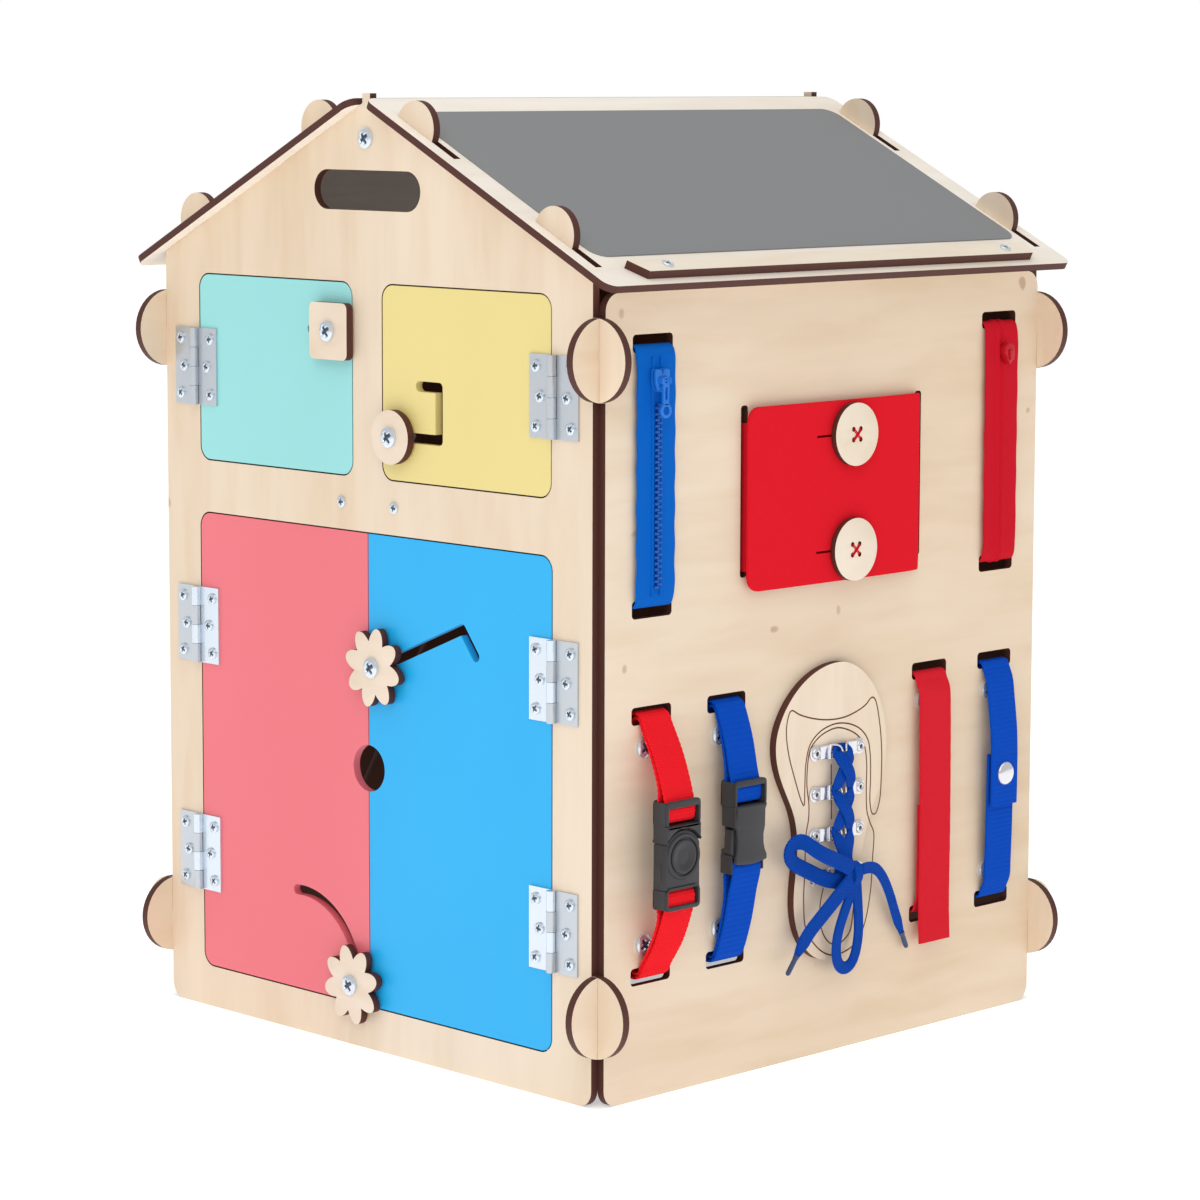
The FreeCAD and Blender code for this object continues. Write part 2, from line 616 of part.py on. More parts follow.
# Bands: webbing and tape, a line in the plane of z (out of the wall) and y, with a thickness and a width
def band(points, thickness, x_mid, width):
    """Carry a flat strip along smooth points (out, up); its two faces lie half a thickness off the line."""
    centre = Part.BSplineCurve()
    centre.interpolate([V(0, up, out) for out, up in points])
    edge = centre.toShape()
    first, last = edge.ParameterRange
    count = BAND_STEPS * (len(points) - 1) + 1
    lines = ([], [])
    for i in range(count):
        at = first + (last - first) * i / (count - 1)
        spot = edge.valueAt(at)
        along = edge.tangentAt(at)
        normal = V(0, -along.z, along.y)
        lines[0].append(spot + normal * (thickness / 2))
        lines[1].append(spot - normal * (thickness / 2))
    outline = lines[0] + lines[1][::-1] + lines[0][:1]
    face = Part.Face(Part.makePolygon(outline))
    strip = face.extrude(V(width, 0, 0))
    strip.translate(V(x_mid - width / 2, 0, 0))
    return strip


def bolt_clearance(x_mid):
    spots = [(u, z) for u, z in strap_bolts if abs(u - x_mid) < STRAP_W]
    return [disc(u, z, BOLT_R + PILOT_CLEAR, -PLY - 6, -PLY + 1) for u, z in spots]


INSIDE = -PLY - FIT - STRAP_T / 2      # middle of a tail that lies on the wall's inner face


def lead_in(slot_z, down):
    """The tail behind the wall and the turn over the slot's lip; down is -1 for an upper slot."""
    turn = [(INSIDE, TAIL), (INSIDE, TAIL - 8), (INSIDE, 13.0), (INSIDE - 0.1, 9.0), (-PLY - 1.3, 4.8), (-PLY - 0.3, 2.1),
            (-PLY / 2, 1.0), (0.4, 1.9), (STRAP_T, 4.6)]
    return [(out, slot_z + down * along) for out, along in turn]


# Zips
zip_low, zip_high = ZIP_SLOT_Z
tape_out = 2.2


def zip_tape(x_mid):
    upper = lead_in(zip_high, -1)
    lower = lead_in(zip_low, 1)
    run = zip_high - zip_low - 2 * TAPE_BEND
    path = upper + [(tape_out, zip_high - TAPE_BEND - run * i / 10) for i in range(11)]
    return band(path + lower[::-1], STRAP_T * 0.75, x_mid, STRAP_W)


tape_face = tape_out + STRAP_T * 0.375 + 0.15
teeth = []
rows = int((ZIP_TEETH_Z[1] - ZIP_TEETH_Z[0]) / TOOTH_PITCH)
for i in range(rows):
    low = ZIP_TEETH_Z[0] + i * TOOTH_PITCH
    teeth.append(box(-OUTER_COLUMN - TOOTH_W + 0.6, -OUTER_COLUMN + 0.6, low, low + TOOTH_H * 0.85, tape_face,
                     tape_face + TOOTH_T))
    low = low + TOOTH_PITCH / 2
    teeth.append(box(-OUTER_COLUMN - 0.6, -OUTER_COLUMN + TOOTH_W - 0.6, low, low + TOOTH_H * 0.85, tape_face,
                     tape_face + TOOTH_T))
save("blue_zip", [put(t, RIGHT) for t in [zip_tape(-OUTER_COLUMN)] + teeth])
save("red_zip", put(zip_tape(OUTER_COLUMN), RIGHT))


def slider(x_mid, z_mid):
    """A zip slider: two wings over the teeth, a bridge between them and two lugs with the pull's pin."""
    base = tape_face + 0.3
    top = base + TOOTH_T + 1.8
    body = rounded(x_mid - SLIDER_W / 2, x_mid + SLIDER_W / 2, z_mid - SLIDER_H / 2, z_mid + SLIDER_H / 2, 2.5, base,
                   top)
    channel = TOOTH_W + 0.4
    body = body.cut(box(x_mid - channel, x_mid + channel, z_mid - SLIDER_H, z_mid + SLIDER_H, base - 1,
                        tape_face + TOOTH_T + 0.4))
    lugs = [box(x_mid + s * 2.4 - 0.6, x_mid + s * 2.4 + 0.6, z_mid - 1.6, z_mid + 1.6, top - 0.2, top + 2.6)
            for s in (-1, 1)]
    pin = Part.makeCylinder(PULL_PIN_R, 4.8, V(x_mid - 2.4, z_mid, top + 1.5), V(1, 0, 0))
    return fuse([body] + lugs + [pin]), top + 1.5


def pull(x_mid, z_mid, out):
    """The pull hangs from its eye on the slider's pin and ends in a ring."""
    eye = Part.makeCylinder(1.3, 3.2, V(x_mid - 1.6, z_mid, out), V(1, 0, 0))
    blade = rounded(x_mid - 1.6, x_mid + 1.6, z_mid - PULL_L + 4, z_mid - 0.2, 0.8, out - 0.6, out + 0.6)
    loop = ring(x_mid, z_mid - PULL_L + 1.5, 3.4, 1.9, out - 0.6, out + 0.6)
    bore = Part.makeCylinder(PULL_PIN_R + PULL_CLEAR, 6, V(x_mid - 3, z_mid, out), V(1, 0, 0))
    return fuse([eye, blade, loop]).cut(bore)


blue_slider, pull_out = slider(-OUTER_COLUMN, SLIDER_Z)
save("blue_zip_slider", put(blue_slider, RIGHT))
save("blue_zip_pull", put(pull(-OUTER_COLUMN, SLIDER_Z, pull_out), RIGHT))
red_slider, red_out = slider(OUTER_COLUMN, SLIDER_Z)
save("red_zip_slider", put(red_slider, RIGHT))

# Felt flap: from the right-hand slot over the button strip, which comes from the left-hand slot
felt_out = 3.4
felt_turn = [(-5.1, -31.0), (-5.1, -17.0), (-5.3, -6.0), (-5.3, -1.6), (-4.3, 0.0), (-2.0, 0.6), (0.2, 0.0),
             (1.7, -2.2), (3.0, -7.0)]
felt_line = [(out, FLAP_SLOT_U + along) for out, along in felt_turn]
felt_line += [(felt_out + 0.3, 42.0), (felt_out + 0.8, 10.0), (felt_out + 0.8, -25.0), (felt_out + 0.4, -61.0)]
under_turn = [(-4.9, 31.0), (-4.9, 17.0), (-5.1, 6.0), (-5.2, 1.6), (-4.2, 0.0), (-2.0, -0.5), (0.1, 0.0),
              (1.2, 2.0), (1.1, 7.0)]
under_line = [(out, -FLAP_SLOT_U + along) for out, along in under_turn]
under_line += [(1.0, -40.0), (1.0, -10.0), (1.0, 25.0)]


def sheet(line, thickness, z_range):
    """A sheet bent along the wall: the line gives (out, along) and the sheet runs up the wall."""
    strip = band(line, thickness, 0, z_range[1] - z_range[0])
    strip.rotate(V(0, 0, 0), V(0, 0, 1), -90)
    strip.translate(V(0, (z_range[0] + z_range[1]) / 2, 0))
    return strip


felt = sheet(felt_line, FLAP_T, FLAP_Z)
beyond = 100.0
felt = felt.common(rounded(-FLAP_SLOT_U, FLAP_SLOT_U + beyond, FLAP_Z[0], FLAP_Z[1], FLAP_R, -beyond, beyond))
shoulder = FLAP_SLOT_U - 4.0
for z0, z1 in ((FLAP_Z[0] - 1, FLAP_SLOT_Z[0]), (FLAP_SLOT_Z[1], FLAP_Z[1] + 1)):
    felt = felt.cut([box(shoulder, beyond, z0, z1, -beyond, beyond), box(0, beyond, z0, z1, -beyond, -PLY)])
for z in BUTTON_ZS:
    felt = felt.cut(box(BUTTON_U - BUTTON_SLIT / 2 - 5, BUTTON_U + BUTTON_SLIT / 2 - 5, z - 1.1, z + 1.1, 1.9, 12))
save("felt_flap", put(felt, RIGHT))
under = sheet(under_line, UNDER_T, UNDER_Z)
under = under.cut([disc(BUTTON_U, z, THREAD_R, -3, 6) for z in BUTTON_ZS])
save("button_strip", put(under, RIGHT))
button_base = felt_out + 2.2
buttons = []
for z in BUTTON_ZS:
    face = disc(BUTTON_U, z, BUTTON_R, button_base, button_base + BUTTON_T)
    face = face.makeChamfer(BUTTON_ROUND, [e for e in face.Edges if e.BoundBox.ZLength < 1e-6])
    dish = disc(BUTTON_U, z, BUTTON_R * 0.8, button_base + BUTTON_T - 0.4, button_base + BUTTON_T + 1)
    holes = [disc(BUTTON_U + x, z + y, BUTTON_HOLE_R, button_base - 1, button_base + BUTTON_T + 1)
             for x in (-BUTTON_HOLE_HALF, BUTTON_HOLE_HALF) for y in (-BUTTON_HOLE_HALF, BUTTON_HOLE_HALF)]
    stem = disc(BUTTON_U, z, THREAD_R, 0.5, button_base + 0.5)
    buttons.append(put(face.cut([dish] + holes).fuse(stem).removeSplitter(), RIGHT))
save("wooden_buttons", buttons)


# Webbing with buckles
def loop_strap(x_mid, slot_z, down, bar_out, bar_z):
    """From the slot out to the buckle's bar, round the bar and back a little way in front."""
    wrap = BAR_R + STRAP_T / 2 + 0.35
    path = lead_in(slot_z, down)
    gap = abs(slot_z - bar_z)
    path += [(bar_out * 0.66, slot_z + down * gap * 0.42), (bar_out - wrap + 0.3, slot_z + down * gap * 0.72),
             (bar_out - wrap, bar_z - down * 2), (bar_out - wrap * 0.7, bar_z + down * wrap * 0.7),
             (bar_out, bar_z + down * wrap), (bar_out + wrap * 0.7, bar_z + down * wrap * 0.7),
             (bar_out + wrap, bar_z - down * 2), (bar_out + wrap * 0.8, bar_z - down * 9),
             (bar_out + wrap * 0.3, bar_z - down * 17)]
    strap = band(path, STRAP_T, x_mid, STRAP_W * 0.985)
    return strap.cut(bolt_clearance(x_mid))


def buckle_bars(x_mid, z_mid, out):
    return Part.makeCylinder(BAR_R, BUCKLE_W - 1, V(x_mid - BUCKLE_W / 2 + 0.5, z_mid, out), V(1, 0, 0))


def buckle(x_mid, z_range, back, split, button):
    """Socket below, plug above: each a moulded block with a window for the webbing and its bar."""
    low, high = z_range
    w = BUCKLE_W / 2
    solids = []
    for z0, z1, bar_z in ((low, split - 0.15, low + BAR_IN), (split + 0.15, high, high - BAR_IN)):
        body = rounded(x_mid - w, x_mid + w, z0, z1, 3.0, back, back + BUCKLE_T)
        w0, w1 = (z0 - 5, z0 + WINDOW) if bar_z < split else (z1 - WINDOW, z1 + 5)
        body = body.cut(rounded(x_mid - w + 2.0, x_mid + w - 2.0, w0, w1, 1.5, back - 1, back + BUCKLE_T + 1))
        bar = buckle_bars(x_mid, bar_z, back + BUCKLE_T / 2)
        solids.append(fuse([body, bar]))
    socket, plug = solids
    plug_low = split - 13.0
    tongue = rounded(x_mid - 8.5, x_mid + 8.5, plug_low, split + 2, 2.0, back + 2.4, back + BUCKLE_T - 2.8)
    socket = socket.cut(rounded(x_mid - 8.9, x_mid + 8.9, plug_low - 0.4, split + 1, 2.0, back + 2.0,
                                back + BUCKLE_T - 2.4))
    plug = fuse([plug, tongue])
    if button:
        centre = (low + high) / 2
        hole_r = CLICK_R + 0.4
        socket = socket.cut(disc(x_mid, centre, hole_r, back + BUCKLE_T - 2.6, back + BUCKLE_T + 1))
        plug = plug.cut(disc(x_mid, centre, hole_r, back + BUCKLE_T - 2.8, back + BUCKLE_T + 1))
    return socket, plug


red_x, blue_x = -OUTER_COLUMN, -INNER_COLUMN
red_mid = (RED_BUCKLE_Z[0] + RED_BUCKLE_Z[1]) / 2
red_socket, red_plug = buckle(red_x, RED_BUCKLE_Z, RED_BUCKLE_OUT, red_mid + 9.5, True)
save("red_strap_buckle_socket", put(red_socket, RIGHT))
save("red_strap_buckle_plug", put(red_plug, RIGHT))
click_top = RED_BUCKLE_OUT + BUCKLE_T + CLICK_PROUD
click = disc(red_x, red_mid, CLICK_R, click_top - CLICK_T, click_top)
click = click.makeChamfer(0.5, [e for e in click.Edges if at_height(click_top)(e)])
save("red_strap_buckle_button", put(click, RIGHT))
blue_mid = (BLUE_BUCKLE_Z[0] + BLUE_BUCKLE_Z[1]) / 2
blue_socket, blue_plug = buckle(blue_x, BLUE_BUCKLE_Z, BLUE_BUCKLE_OUT, blue_mid + 3.0, False)
save("blue_strap_buckle_socket", put(blue_socket, RIGHT))
save("blue_strap_buckle_plug", put(blue_plug, RIGHT))
red_bar = RED_BUCKLE_OUT + BUCKLE_T / 2
blue_bar = BLUE_BUCKLE_OUT + BUCKLE_T / 2
save("red_webbing", [put(loop_strap(red_x, STRAP_SLOT_Z[1], -1, red_bar, RED_BUCKLE_Z[1] - BAR_IN), RIGHT),
                     put(loop_strap(red_x, STRAP_SLOT_Z[0], 1, red_bar, RED_BUCKLE_Z[0] + BAR_IN), RIGHT)])
save("blue_webbing", [put(loop_strap(blue_x, STRAP_SLOT_Z[1], -1, blue_bar, BLUE_BUCKLE_Z[1] - BAR_IN), RIGHT),
                      put(loop_strap(blue_x, STRAP_SLOT_Z[0], 1, blue_bar, BLUE_BUCKLE_Z[0] + BAR_IN), RIGHT)])

# Hook-and-loop strap: hangs from the upper slot, the short lower strap lies under its end
upper_path = lead_in(STRAP_SLOT_Z[1], -1)
lower_path = lead_in(STRAP_SLOT_Z[0], 1)
hang = band(upper_path + [(3.7, 168.0), (4.3, 158.0), (4.6, 140.0), (4.9, 100.0), (4.8, 60.0), (5.4, 43.6)],
            STRAP_T, INNER_COLUMN, STRAP_W * 0.985).cut(bolt_clearance(INNER_COLUMN))
save("hook_loop_strap", put(hang, RIGHT))

# Snap strap: the upper strap closes over the lower one with a press stud
snap_u = OUTER_COLUMN
SNAP_Z = 121.0
upper_snap = band(upper_path + [(3.7, 168.0), (5.2, 158.0), (7.2, 140.0), (7.6, SNAP_Z), (7.4, 105.0)], STRAP_T, snap_u,
                  STRAP_W * 0.985).cut(bolt_clearance(snap_u))
lower_snap = band(lower_path + [(3.7, 67.2), (4.2, 77.0), (4.7, 95.0), (5.0, SNAP_Z), (4.9, 131.0)], STRAP_T, snap_u,
                  STRAP_W * 0.985).cut(bolt_clearance(snap_u))
save("snap_straps", [put(upper_snap, RIGHT), put(lower_snap, RIGHT)])
dome_base = 7.6 + STRAP_T / 2 + 0.1
dome = disc(snap_u, SNAP_Z, 5.8, dome_base, dome_base + 1.8)
dome = dome.makeChamfer(1.0, [e for e in dome.Edges if at_height(dome_base + 1.8)(e)])
save("press_stud", put(dome, RIGHT))

# Shoe board with eight lace loops and its lace
curve = Part.BSplineCurve()
curve.interpolate([V(x, y, 0) for x, y in SHOE_OUTLINE], PeriodicFlag=True)
shoe = Part.Face(Part.Wire(curve.toShape())).extrude(V(0, 0, PLY))
save("shoe_board", put(shoe, RIGHT))


def hoop(u, z, out):
    """The ring that holds the lace: it stands across the board, its lower half inside the folded plate."""
    outer = RING_R + 2 * RING_WIRE
    low = z - RING_WIRE
    solid = Part.makeCylinder(outer, 2 * RING_WIRE, V(u, low, out), V(0, 1, 0))
    return solid.cut(Part.makeCylinder(RING_R, 4 * RING_WIRE, V(u, low - RING_WIRE, out), V(0, 1, 0)))


clips = []
for z in LACE_ROWS:
    for side in (-1, 1):
        u = LACE_MID + side * HOOK_HALF
        plate = rounded(u - CLIP_W / 2 + side * 2.2, u + CLIP_W / 2 + side * 2.2, z - CLIP_H / 2, z + CLIP_H / 2, 1.2,
                        PLY, PLY + CLIP_T)
        loop = hoop(u, z, PLY + CLIP_T)
        loop = loop.common(box(u - 5, u + 5, z - 2, z + 2, PLY + CLIP_T * 0.5, PLY + 9))
        rivet = disc(u + side * 3.6, z, 1.5, PLY + CLIP_T * 0.5, PLY + CLIP_T + 0.8)
        clips.append(put(fuse([plate, loop, rivet]), RIGHT))
save("lace_loops", clips)


def tube(points, radius):
    """A round cord: straight runs joined by arcs as large as the runs allow."""
    spots = [V(*p) for p in points]
    edges = []
    cursor = spots[0]
    for before, here, after in zip(spots, spots[1:], spots[2:]):
        back = (before - here)
        ahead = (after - here)
        run = 0.45 * min(back.Length, ahead.Length)
        back.normalize()
        ahead.normalize()
        start = here + back * run
        finish = here + ahead * run
        half_turn = (math.pi - back.getAngle(ahead)) / 2
        bisector = back + ahead
        bisector.normalize()
        arc_radius = run / math.tan(half_turn)
        centre_distance = run / math.sin(half_turn)
        middle = here + bisector * (centre_distance - arc_radius)
        edges.append(Part.makeLine(cursor, start))
        edges.append(Part.Arc(start, middle, finish).toShape())
        cursor = finish
    edges.append(Part.makeLine(cursor, spots[-1]))
    path = Part.Wire(edges)
    heading = spots[1] - spots[0]
    across = heading.cross(V(0, 0, 1))
    across.normalize()
    turn = FreeCAD.Rotation(heading, 360 / LACE_SIDES)
    ring_spots = [across * radius]
    for _ in range(LACE_SIDES - 1):
        ring_spots.append(turn.multVec(ring_spots[-1]))
    profile = Part.makePolygon([spots[0] + r for r in ring_spots + ring_spots[:1]])
    solid = path.makePipeShell([profile], True, False)
    return solid, path.Length


lace_out = PLY + CLIP_T + LACE_R + 0.25
KNOT = (4.0, 88.0, 13.2)
KNOT_R = 4.4


def zigzag():
    """Up one side, across the top and down the other, humped where the second strand crosses the first."""
    left = LACE_MID - HOOK_HALF
    right_u = LACE_MID + HOOK_HALF
    bend = 2.2
    up = []
    for i, z in enumerate(LACE_ROWS):
        u = left if i % 2 == 0 else right_u
        up += [(u, z - bend, lace_out), (u, z + bend, lace_out)]
    down = []
    for i, z in enumerate(reversed(LACE_ROWS)):
        u = left if i % 2 == 0 else right_u
        if i > 0:
            middle_z = z + (LACE_ROWS[1] - LACE_ROWS[0]) / 2
            down += [(LACE_MID, middle_z, lace_out + 2 * LACE_R + 1.6)]
        down += [(u, z + bend, lace_out), (u, z - bend, lace_out)]
    return up + down


lace, lace_length = tube(zigzag(), LACE_R)
print("lace on the loops", round(lace_length), "mm")
knot = Part.makeSphere(KNOT_R, V(*KNOT))
save("shoe_lace", [put(lace, RIGHT), put(knot, RIGHT)])
left_bow = [(0.2, 91.0, 15.0), (-10.0, 96.0, 16.4), (-24.0, 102.0, 16.0), (-34.0, 110.0, 13.0), (-40.5, 106.0, 11.0),
            (-38.0, 99.0, 9.8), (-26.0, 93.0, 10.2), (-12.0, 86.0, 11.8), (-0.6, 84.6, 12.2)]
lower_bow = [(2.0, 83.4, 14.6), (-3.0, 72.0, 13.4), (-6.4, 58.0, 11.0), (-4.0, 46.0, 8.8), (2.5, 40.5, 7.8),
             (9.5, 43.5, 8.0), (12.0, 56.0, 9.0), (9.0, 70.0, 11.0), (6.6, 83.0, 12.0)]
bows = []
for name, route in (("left bow", left_bow), ("lower bow", lower_bow)):
    bow, length = tube(route, LACE_R)
    bows.append(put(bow, RIGHT))
    print(name, round(length), "mm")
save("lace_bow_left", bows[0])
save("lace_bow_lower", bows[1])
right_tail = [(8.4, 89.6, 14.0), (17.0, 90.0, 12.6), (27.0, 84.0, 10.0), (36.0, 73.0, 7.4), (44.0, 60.0, 4.6),
              (50.0, 50.0, 3.4)]
left_tail = [(-0.4, 86.4, 15.0), (-10.0, 80.0, 15.6), (-20.0, 70.0, 13.0), (-27.0, 62.0, 10.4), (-33.0, 52.0, 9.0)]
aglets = []
tails = []
for name, route in (("right tail", right_tail), ("left tail", left_tail)):
    cord, length = tube(route, LACE_R)
    tails.append(put(cord, RIGHT))
    print(name, round(length), "mm")
    tip = V(*route[-1])
    heading = tip - V(*route[-2])
    heading.normalize()
    aglets.append(put(Part.makeCylinder(LACE_R, 9.0, tip, heading), RIGHT))
save("lace_tail_right", tails[0])
save("lace_tail_left", tails[1])
save("lace_tips", aglets)
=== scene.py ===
# %% [markdown]
# # A wooden busy board shaped like a small house
#
# The plywood panels, doors, knobs and hinges come from the CAD model and only get a finish here. What is
# soft, woven or finely moulded on the real toy is modelled again in full: webbing, zips, felt, buckles,
# the shoe lace and the heads of the fasteners. Every length below is in millimetres on a board frame, and
# the mappers turn it into metres in the row frame.

import math

import bmesh
import bpy
import numpy as np
from mathutils import Matrix, Vector
from mathutils.geometry import tessellate_polygon


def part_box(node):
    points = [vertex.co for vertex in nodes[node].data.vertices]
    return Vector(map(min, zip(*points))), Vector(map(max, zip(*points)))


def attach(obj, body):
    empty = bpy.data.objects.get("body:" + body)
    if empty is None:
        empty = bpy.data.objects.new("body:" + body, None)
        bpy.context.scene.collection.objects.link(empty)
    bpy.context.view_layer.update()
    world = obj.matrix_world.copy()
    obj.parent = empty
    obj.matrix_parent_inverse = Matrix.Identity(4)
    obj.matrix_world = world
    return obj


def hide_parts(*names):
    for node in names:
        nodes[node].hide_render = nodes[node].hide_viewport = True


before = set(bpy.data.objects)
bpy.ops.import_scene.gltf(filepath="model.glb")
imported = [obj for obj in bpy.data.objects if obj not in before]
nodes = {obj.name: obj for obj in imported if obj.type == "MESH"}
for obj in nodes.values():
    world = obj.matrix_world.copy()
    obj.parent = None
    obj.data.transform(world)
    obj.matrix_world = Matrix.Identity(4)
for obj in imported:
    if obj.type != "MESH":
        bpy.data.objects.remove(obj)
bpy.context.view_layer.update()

# %% [markdown]
# ## Camera
# The photograph looks at the corner between the door front and the strap side from a little above the
# middle. The pose was fitted to the straight edges of the panels, with a long lens and a small vertical
# shift.

# %% Camera
FORWARD = Vector((-0.70690226, 0.69760392, -0.11678171))
ROLL = 0.002374
side_axis = FORWARD.cross(Vector((0, 0, 1))).normalized()
up_axis = side_axis.cross(FORWARD)
rolled_side = side_axis * math.cos(ROLL) + up_axis * math.sin(ROLL)
rolled_up = up_axis * math.cos(ROLL) - side_axis * math.sin(ROLL)
camera_data = bpy.data.cameras.new("camera")
camera_data.lens = 115.886
camera_data.sensor_width = 36
camera_data.shift_x = 0.00599
camera_data.shift_y = -0.06118
camera = bpy.data.objects.new("camera", camera_data)
turn = Matrix((rolled_side, rolled_up, -FORWARD)).transposed().to_4x4()
camera.matrix_world = Matrix.Translation((1.36328, -1.35302, 0.46611)) @ turn
bpy.context.scene.collection.objects.link(camera)
bpy.context.scene.camera = camera
print("camera", [round(x, 3) for x in camera.location])

# %% [markdown]
# ## Board frames
# Each board has its own flat frame: u along it, v up it and w out of it. Drawing a strap or a button in
# the frame of the wall that carries it keeps its numbers the same as on a drawing of that wall.

# %% Board frames
MM = 0.001
SHIFT = -1.95            # the outline's middle is this far from the middle of the panels
HALF = 155.0             # half the house over its panels
RIDGE_Z = 453.0          # where the upper faces of the two roofs would meet
SLOPE = math.radians(26.5)


def right(p):
    """(u, v, w) of the strap side: x = 155 + shift + w, y = u, z = v."""
    p = np.asarray(p, float)
    return np.stack([HALF + SHIFT + p[..., 2], p[..., 0], p[..., 1]], -1) * MM


def front(p):
    """(u, v, w) of the door front: x = u + shift, y = -155 - w, z = v."""
    p = np.asarray(p, float)
    return np.stack([p[..., 0] + SHIFT, -HALF - p[..., 2], p[..., 1]], -1) * MM


def back(p):
    """(u, v, w) of the plain back: x = shift - u, y = 155 + w, z = v."""
    p = np.asarray(p, float)
    return np.stack([SHIFT - p[..., 0], HALF + p[..., 2], p[..., 1]], -1) * MM


def roof(p):
    """(u, s, h) of the right roof: s runs down the slope from the ridge and h stands off it."""
    p = np.asarray(p, float)
    u, s, h = p[..., 0], p[..., 1], p[..., 2]
    x = SHIFT + s * math.cos(SLOPE) + h * math.sin(SLOPE)
    z = RIDGE_Z - s * math.sin(SLOPE) + h * math.cos(SLOPE)
    return np.stack([x, u, z], -1) * MM


# %% [markdown]
# ## Shapes from formulas
# A shell is a dict of points, quads, other faces, surface coordinates and a material number. Straps,
# cords and turned parts are all rings joined along a line, so one function closes them. Flat parts are
# outlines with holes, raised to a thickness with a small round on their rims.

# %% Lines and rings
def unit(vectors):
    """The same vectors with length 1."""
    return vectors / np.linalg.norm(vectors, axis=-1)[..., None]


def arc(line):
    """The length from the start of a line to each of its points."""
    return np.concatenate([[0], np.cumsum(np.linalg.norm(np.diff(line, axis=0), axis=1))])


def full_turn(count):
    """Angles at even steps round a circle."""
    return np.linspace(0, 2 * math.pi, count, endpoint=False)


def even(line, step):
    """The same line at even steps: points at equal arc length, interpolated between the given ones."""
    run = arc(line)
    count = max(3, int(round(run[-1] / step)))
    at = np.linspace(0, run[-1], count + 1)
    return np.stack([np.interp(at, run, line[:, k]) for k in range(line.shape[1])], -1)


def smooth(points, step, closed=False):
    """A smooth curve through the points, at even steps; a span counts by the root of its length."""
    p = np.asarray(points, float)
    if closed:
        p = np.vstack([p[-1], p, p[0], p[1]])
    else:
        p = np.vstack([2 * p[0] - p[1], p, 2 * p[-1] - p[-2]])
    gap = np.sqrt(np.linalg.norm(np.diff(p, axis=0), axis=1))
    rows = []
    for i in range(1, len(p) - 2):
        t0, t1, t2, t3 = np.cumsum([0, gap[i - 1], gap[i], gap[i + 1]])
        t = np.linspace(t1, t2, 16, endpoint=False)[:, None]
        a1 = ((t1 - t) * p[i - 1] + (t - t0) * p[i]) / (t1 - t0)
        a2 = ((t2 - t) * p[i] + (t - t1) * p[i + 1]) / (t2 - t1)
        a3 = ((t3 - t) * p[i + 1] + (t - t2) * p[i + 2]) / (t3 - t2)
        b1 = ((t2 - t) * a1 + (t - t0) * a2) / (t2 - t0)
        b2 = ((t3 - t) * a2 + (t - t1) * a3) / (t3 - t1)
        rows.append(((t2 - t) * b1 + (t - t1) * b2) / (t2 - t1))
    rows.append(p[-2][None])
    return even(np.vstack(rows), step)


def shell(rings, number=0, uv=None, caps=True, loop=False):
    """Quads between neighbouring rings, (n, m, 3); each end is closed by one face, or they join in a loop."""
    n, m = rings.shape[:2]
    i, j = np.meshgrid(np.arange(n if loop else n - 1), np.arange(m), indexing="ij")
    k, nxt = (j + 1) % m, (i + 1) % n
    quads = np.stack([i * m + j, i * m + k, nxt * m + k, nxt * m + j], -1).reshape(-1, 4)
    ends = [] if loop or not caps else [list(range(m))[::-1], list(range((n - 1) * m, n * m))]
    flat = np.zeros((n * m, 2)) if uv is None else uv.reshape(-1, 2)
    return {"points": rings.reshape(-1, 3), "quads": quads, "faces": ends, "uv": flat, "number": number}


def flat_section(width, thick, cells=9):
    """Outline (across, out) of a flat band whose edges are half circles of its thickness."""
    r = thick / 2
    a = np.linspace(r - width / 2, width / 2 - r, cells)
    t = np.radians(np.linspace(60, -60, 5))
    right_edge = np.stack([width / 2 - r + r * np.cos(t), r * np.sin(t)], -1)
    left_edge = np.stack([r - width / 2 - r * np.cos(t), -r * np.sin(t)], -1)
    top = np.stack([a, np.full(cells, r)], -1)
    bottom = np.stack([a[::-1], np.full(cells, -r)], -1)
    return np.vstack([top, right_edge, bottom, left_edge])


def strip(line, across, section, rib=(0, 1), edge=(0, 1), scale=None, loop=False):
    """A band along a line: section points at line + a across + t normal; ribs raise t and edge waves widen a.

    The rib height is rib[0] |sin(pi s / rib[1])| and the width wave edge[0] cos(2 pi s / edge[1]).
    """
    tangent = unit(np.gradient(line, axis=0))
    across = np.broadcast_to(np.asarray(across, float), line.shape)
    normal = unit(np.cross(tangent, across))
    s = arc(line)
    width = section[:, 0].max()
    raised = rib[0] * (np.abs(np.sin(math.pi * s / rib[1])) - 0.5)
    wave = 1 + edge[0] / width * np.cos(2 * math.pi * s / edge[1])
    if scale is not None:
        wave = wave * scale
    a = section[None, :, 0] * wave[:, None]
    t = section[None, :, 1] + np.sign(section[None, :, 1]) * raised[:, None]
    rings = line[:, None] + a[..., None] * across[:, None] + t[..., None] * normal[:, None]
    uv = np.stack([np.broadcast_to(s[:, None], a.shape), a], -1)
    return shell(rings, uv=uv, loop=loop)


def tube(line, radius, number=0, count=12, out=(0, 0, 1)):
    """A round wire: circles of the radius (a number or one per point) across the line."""
    tangent = unit(np.gradient(line, axis=0))
    side = unit(np.cross(tangent, np.asarray(out, float)))
    normal = np.cross(side, tangent)
    angle = full_turn(count)
    radius = np.broadcast_to(np.asarray(radius, float), (len(line),))
    ring = side[:, None] * np.cos(angle)[None, :, None] + normal[:, None] * np.sin(angle)[None, :, None]
    return shell(line[:, None] + radius[:, None, None] * ring, number)


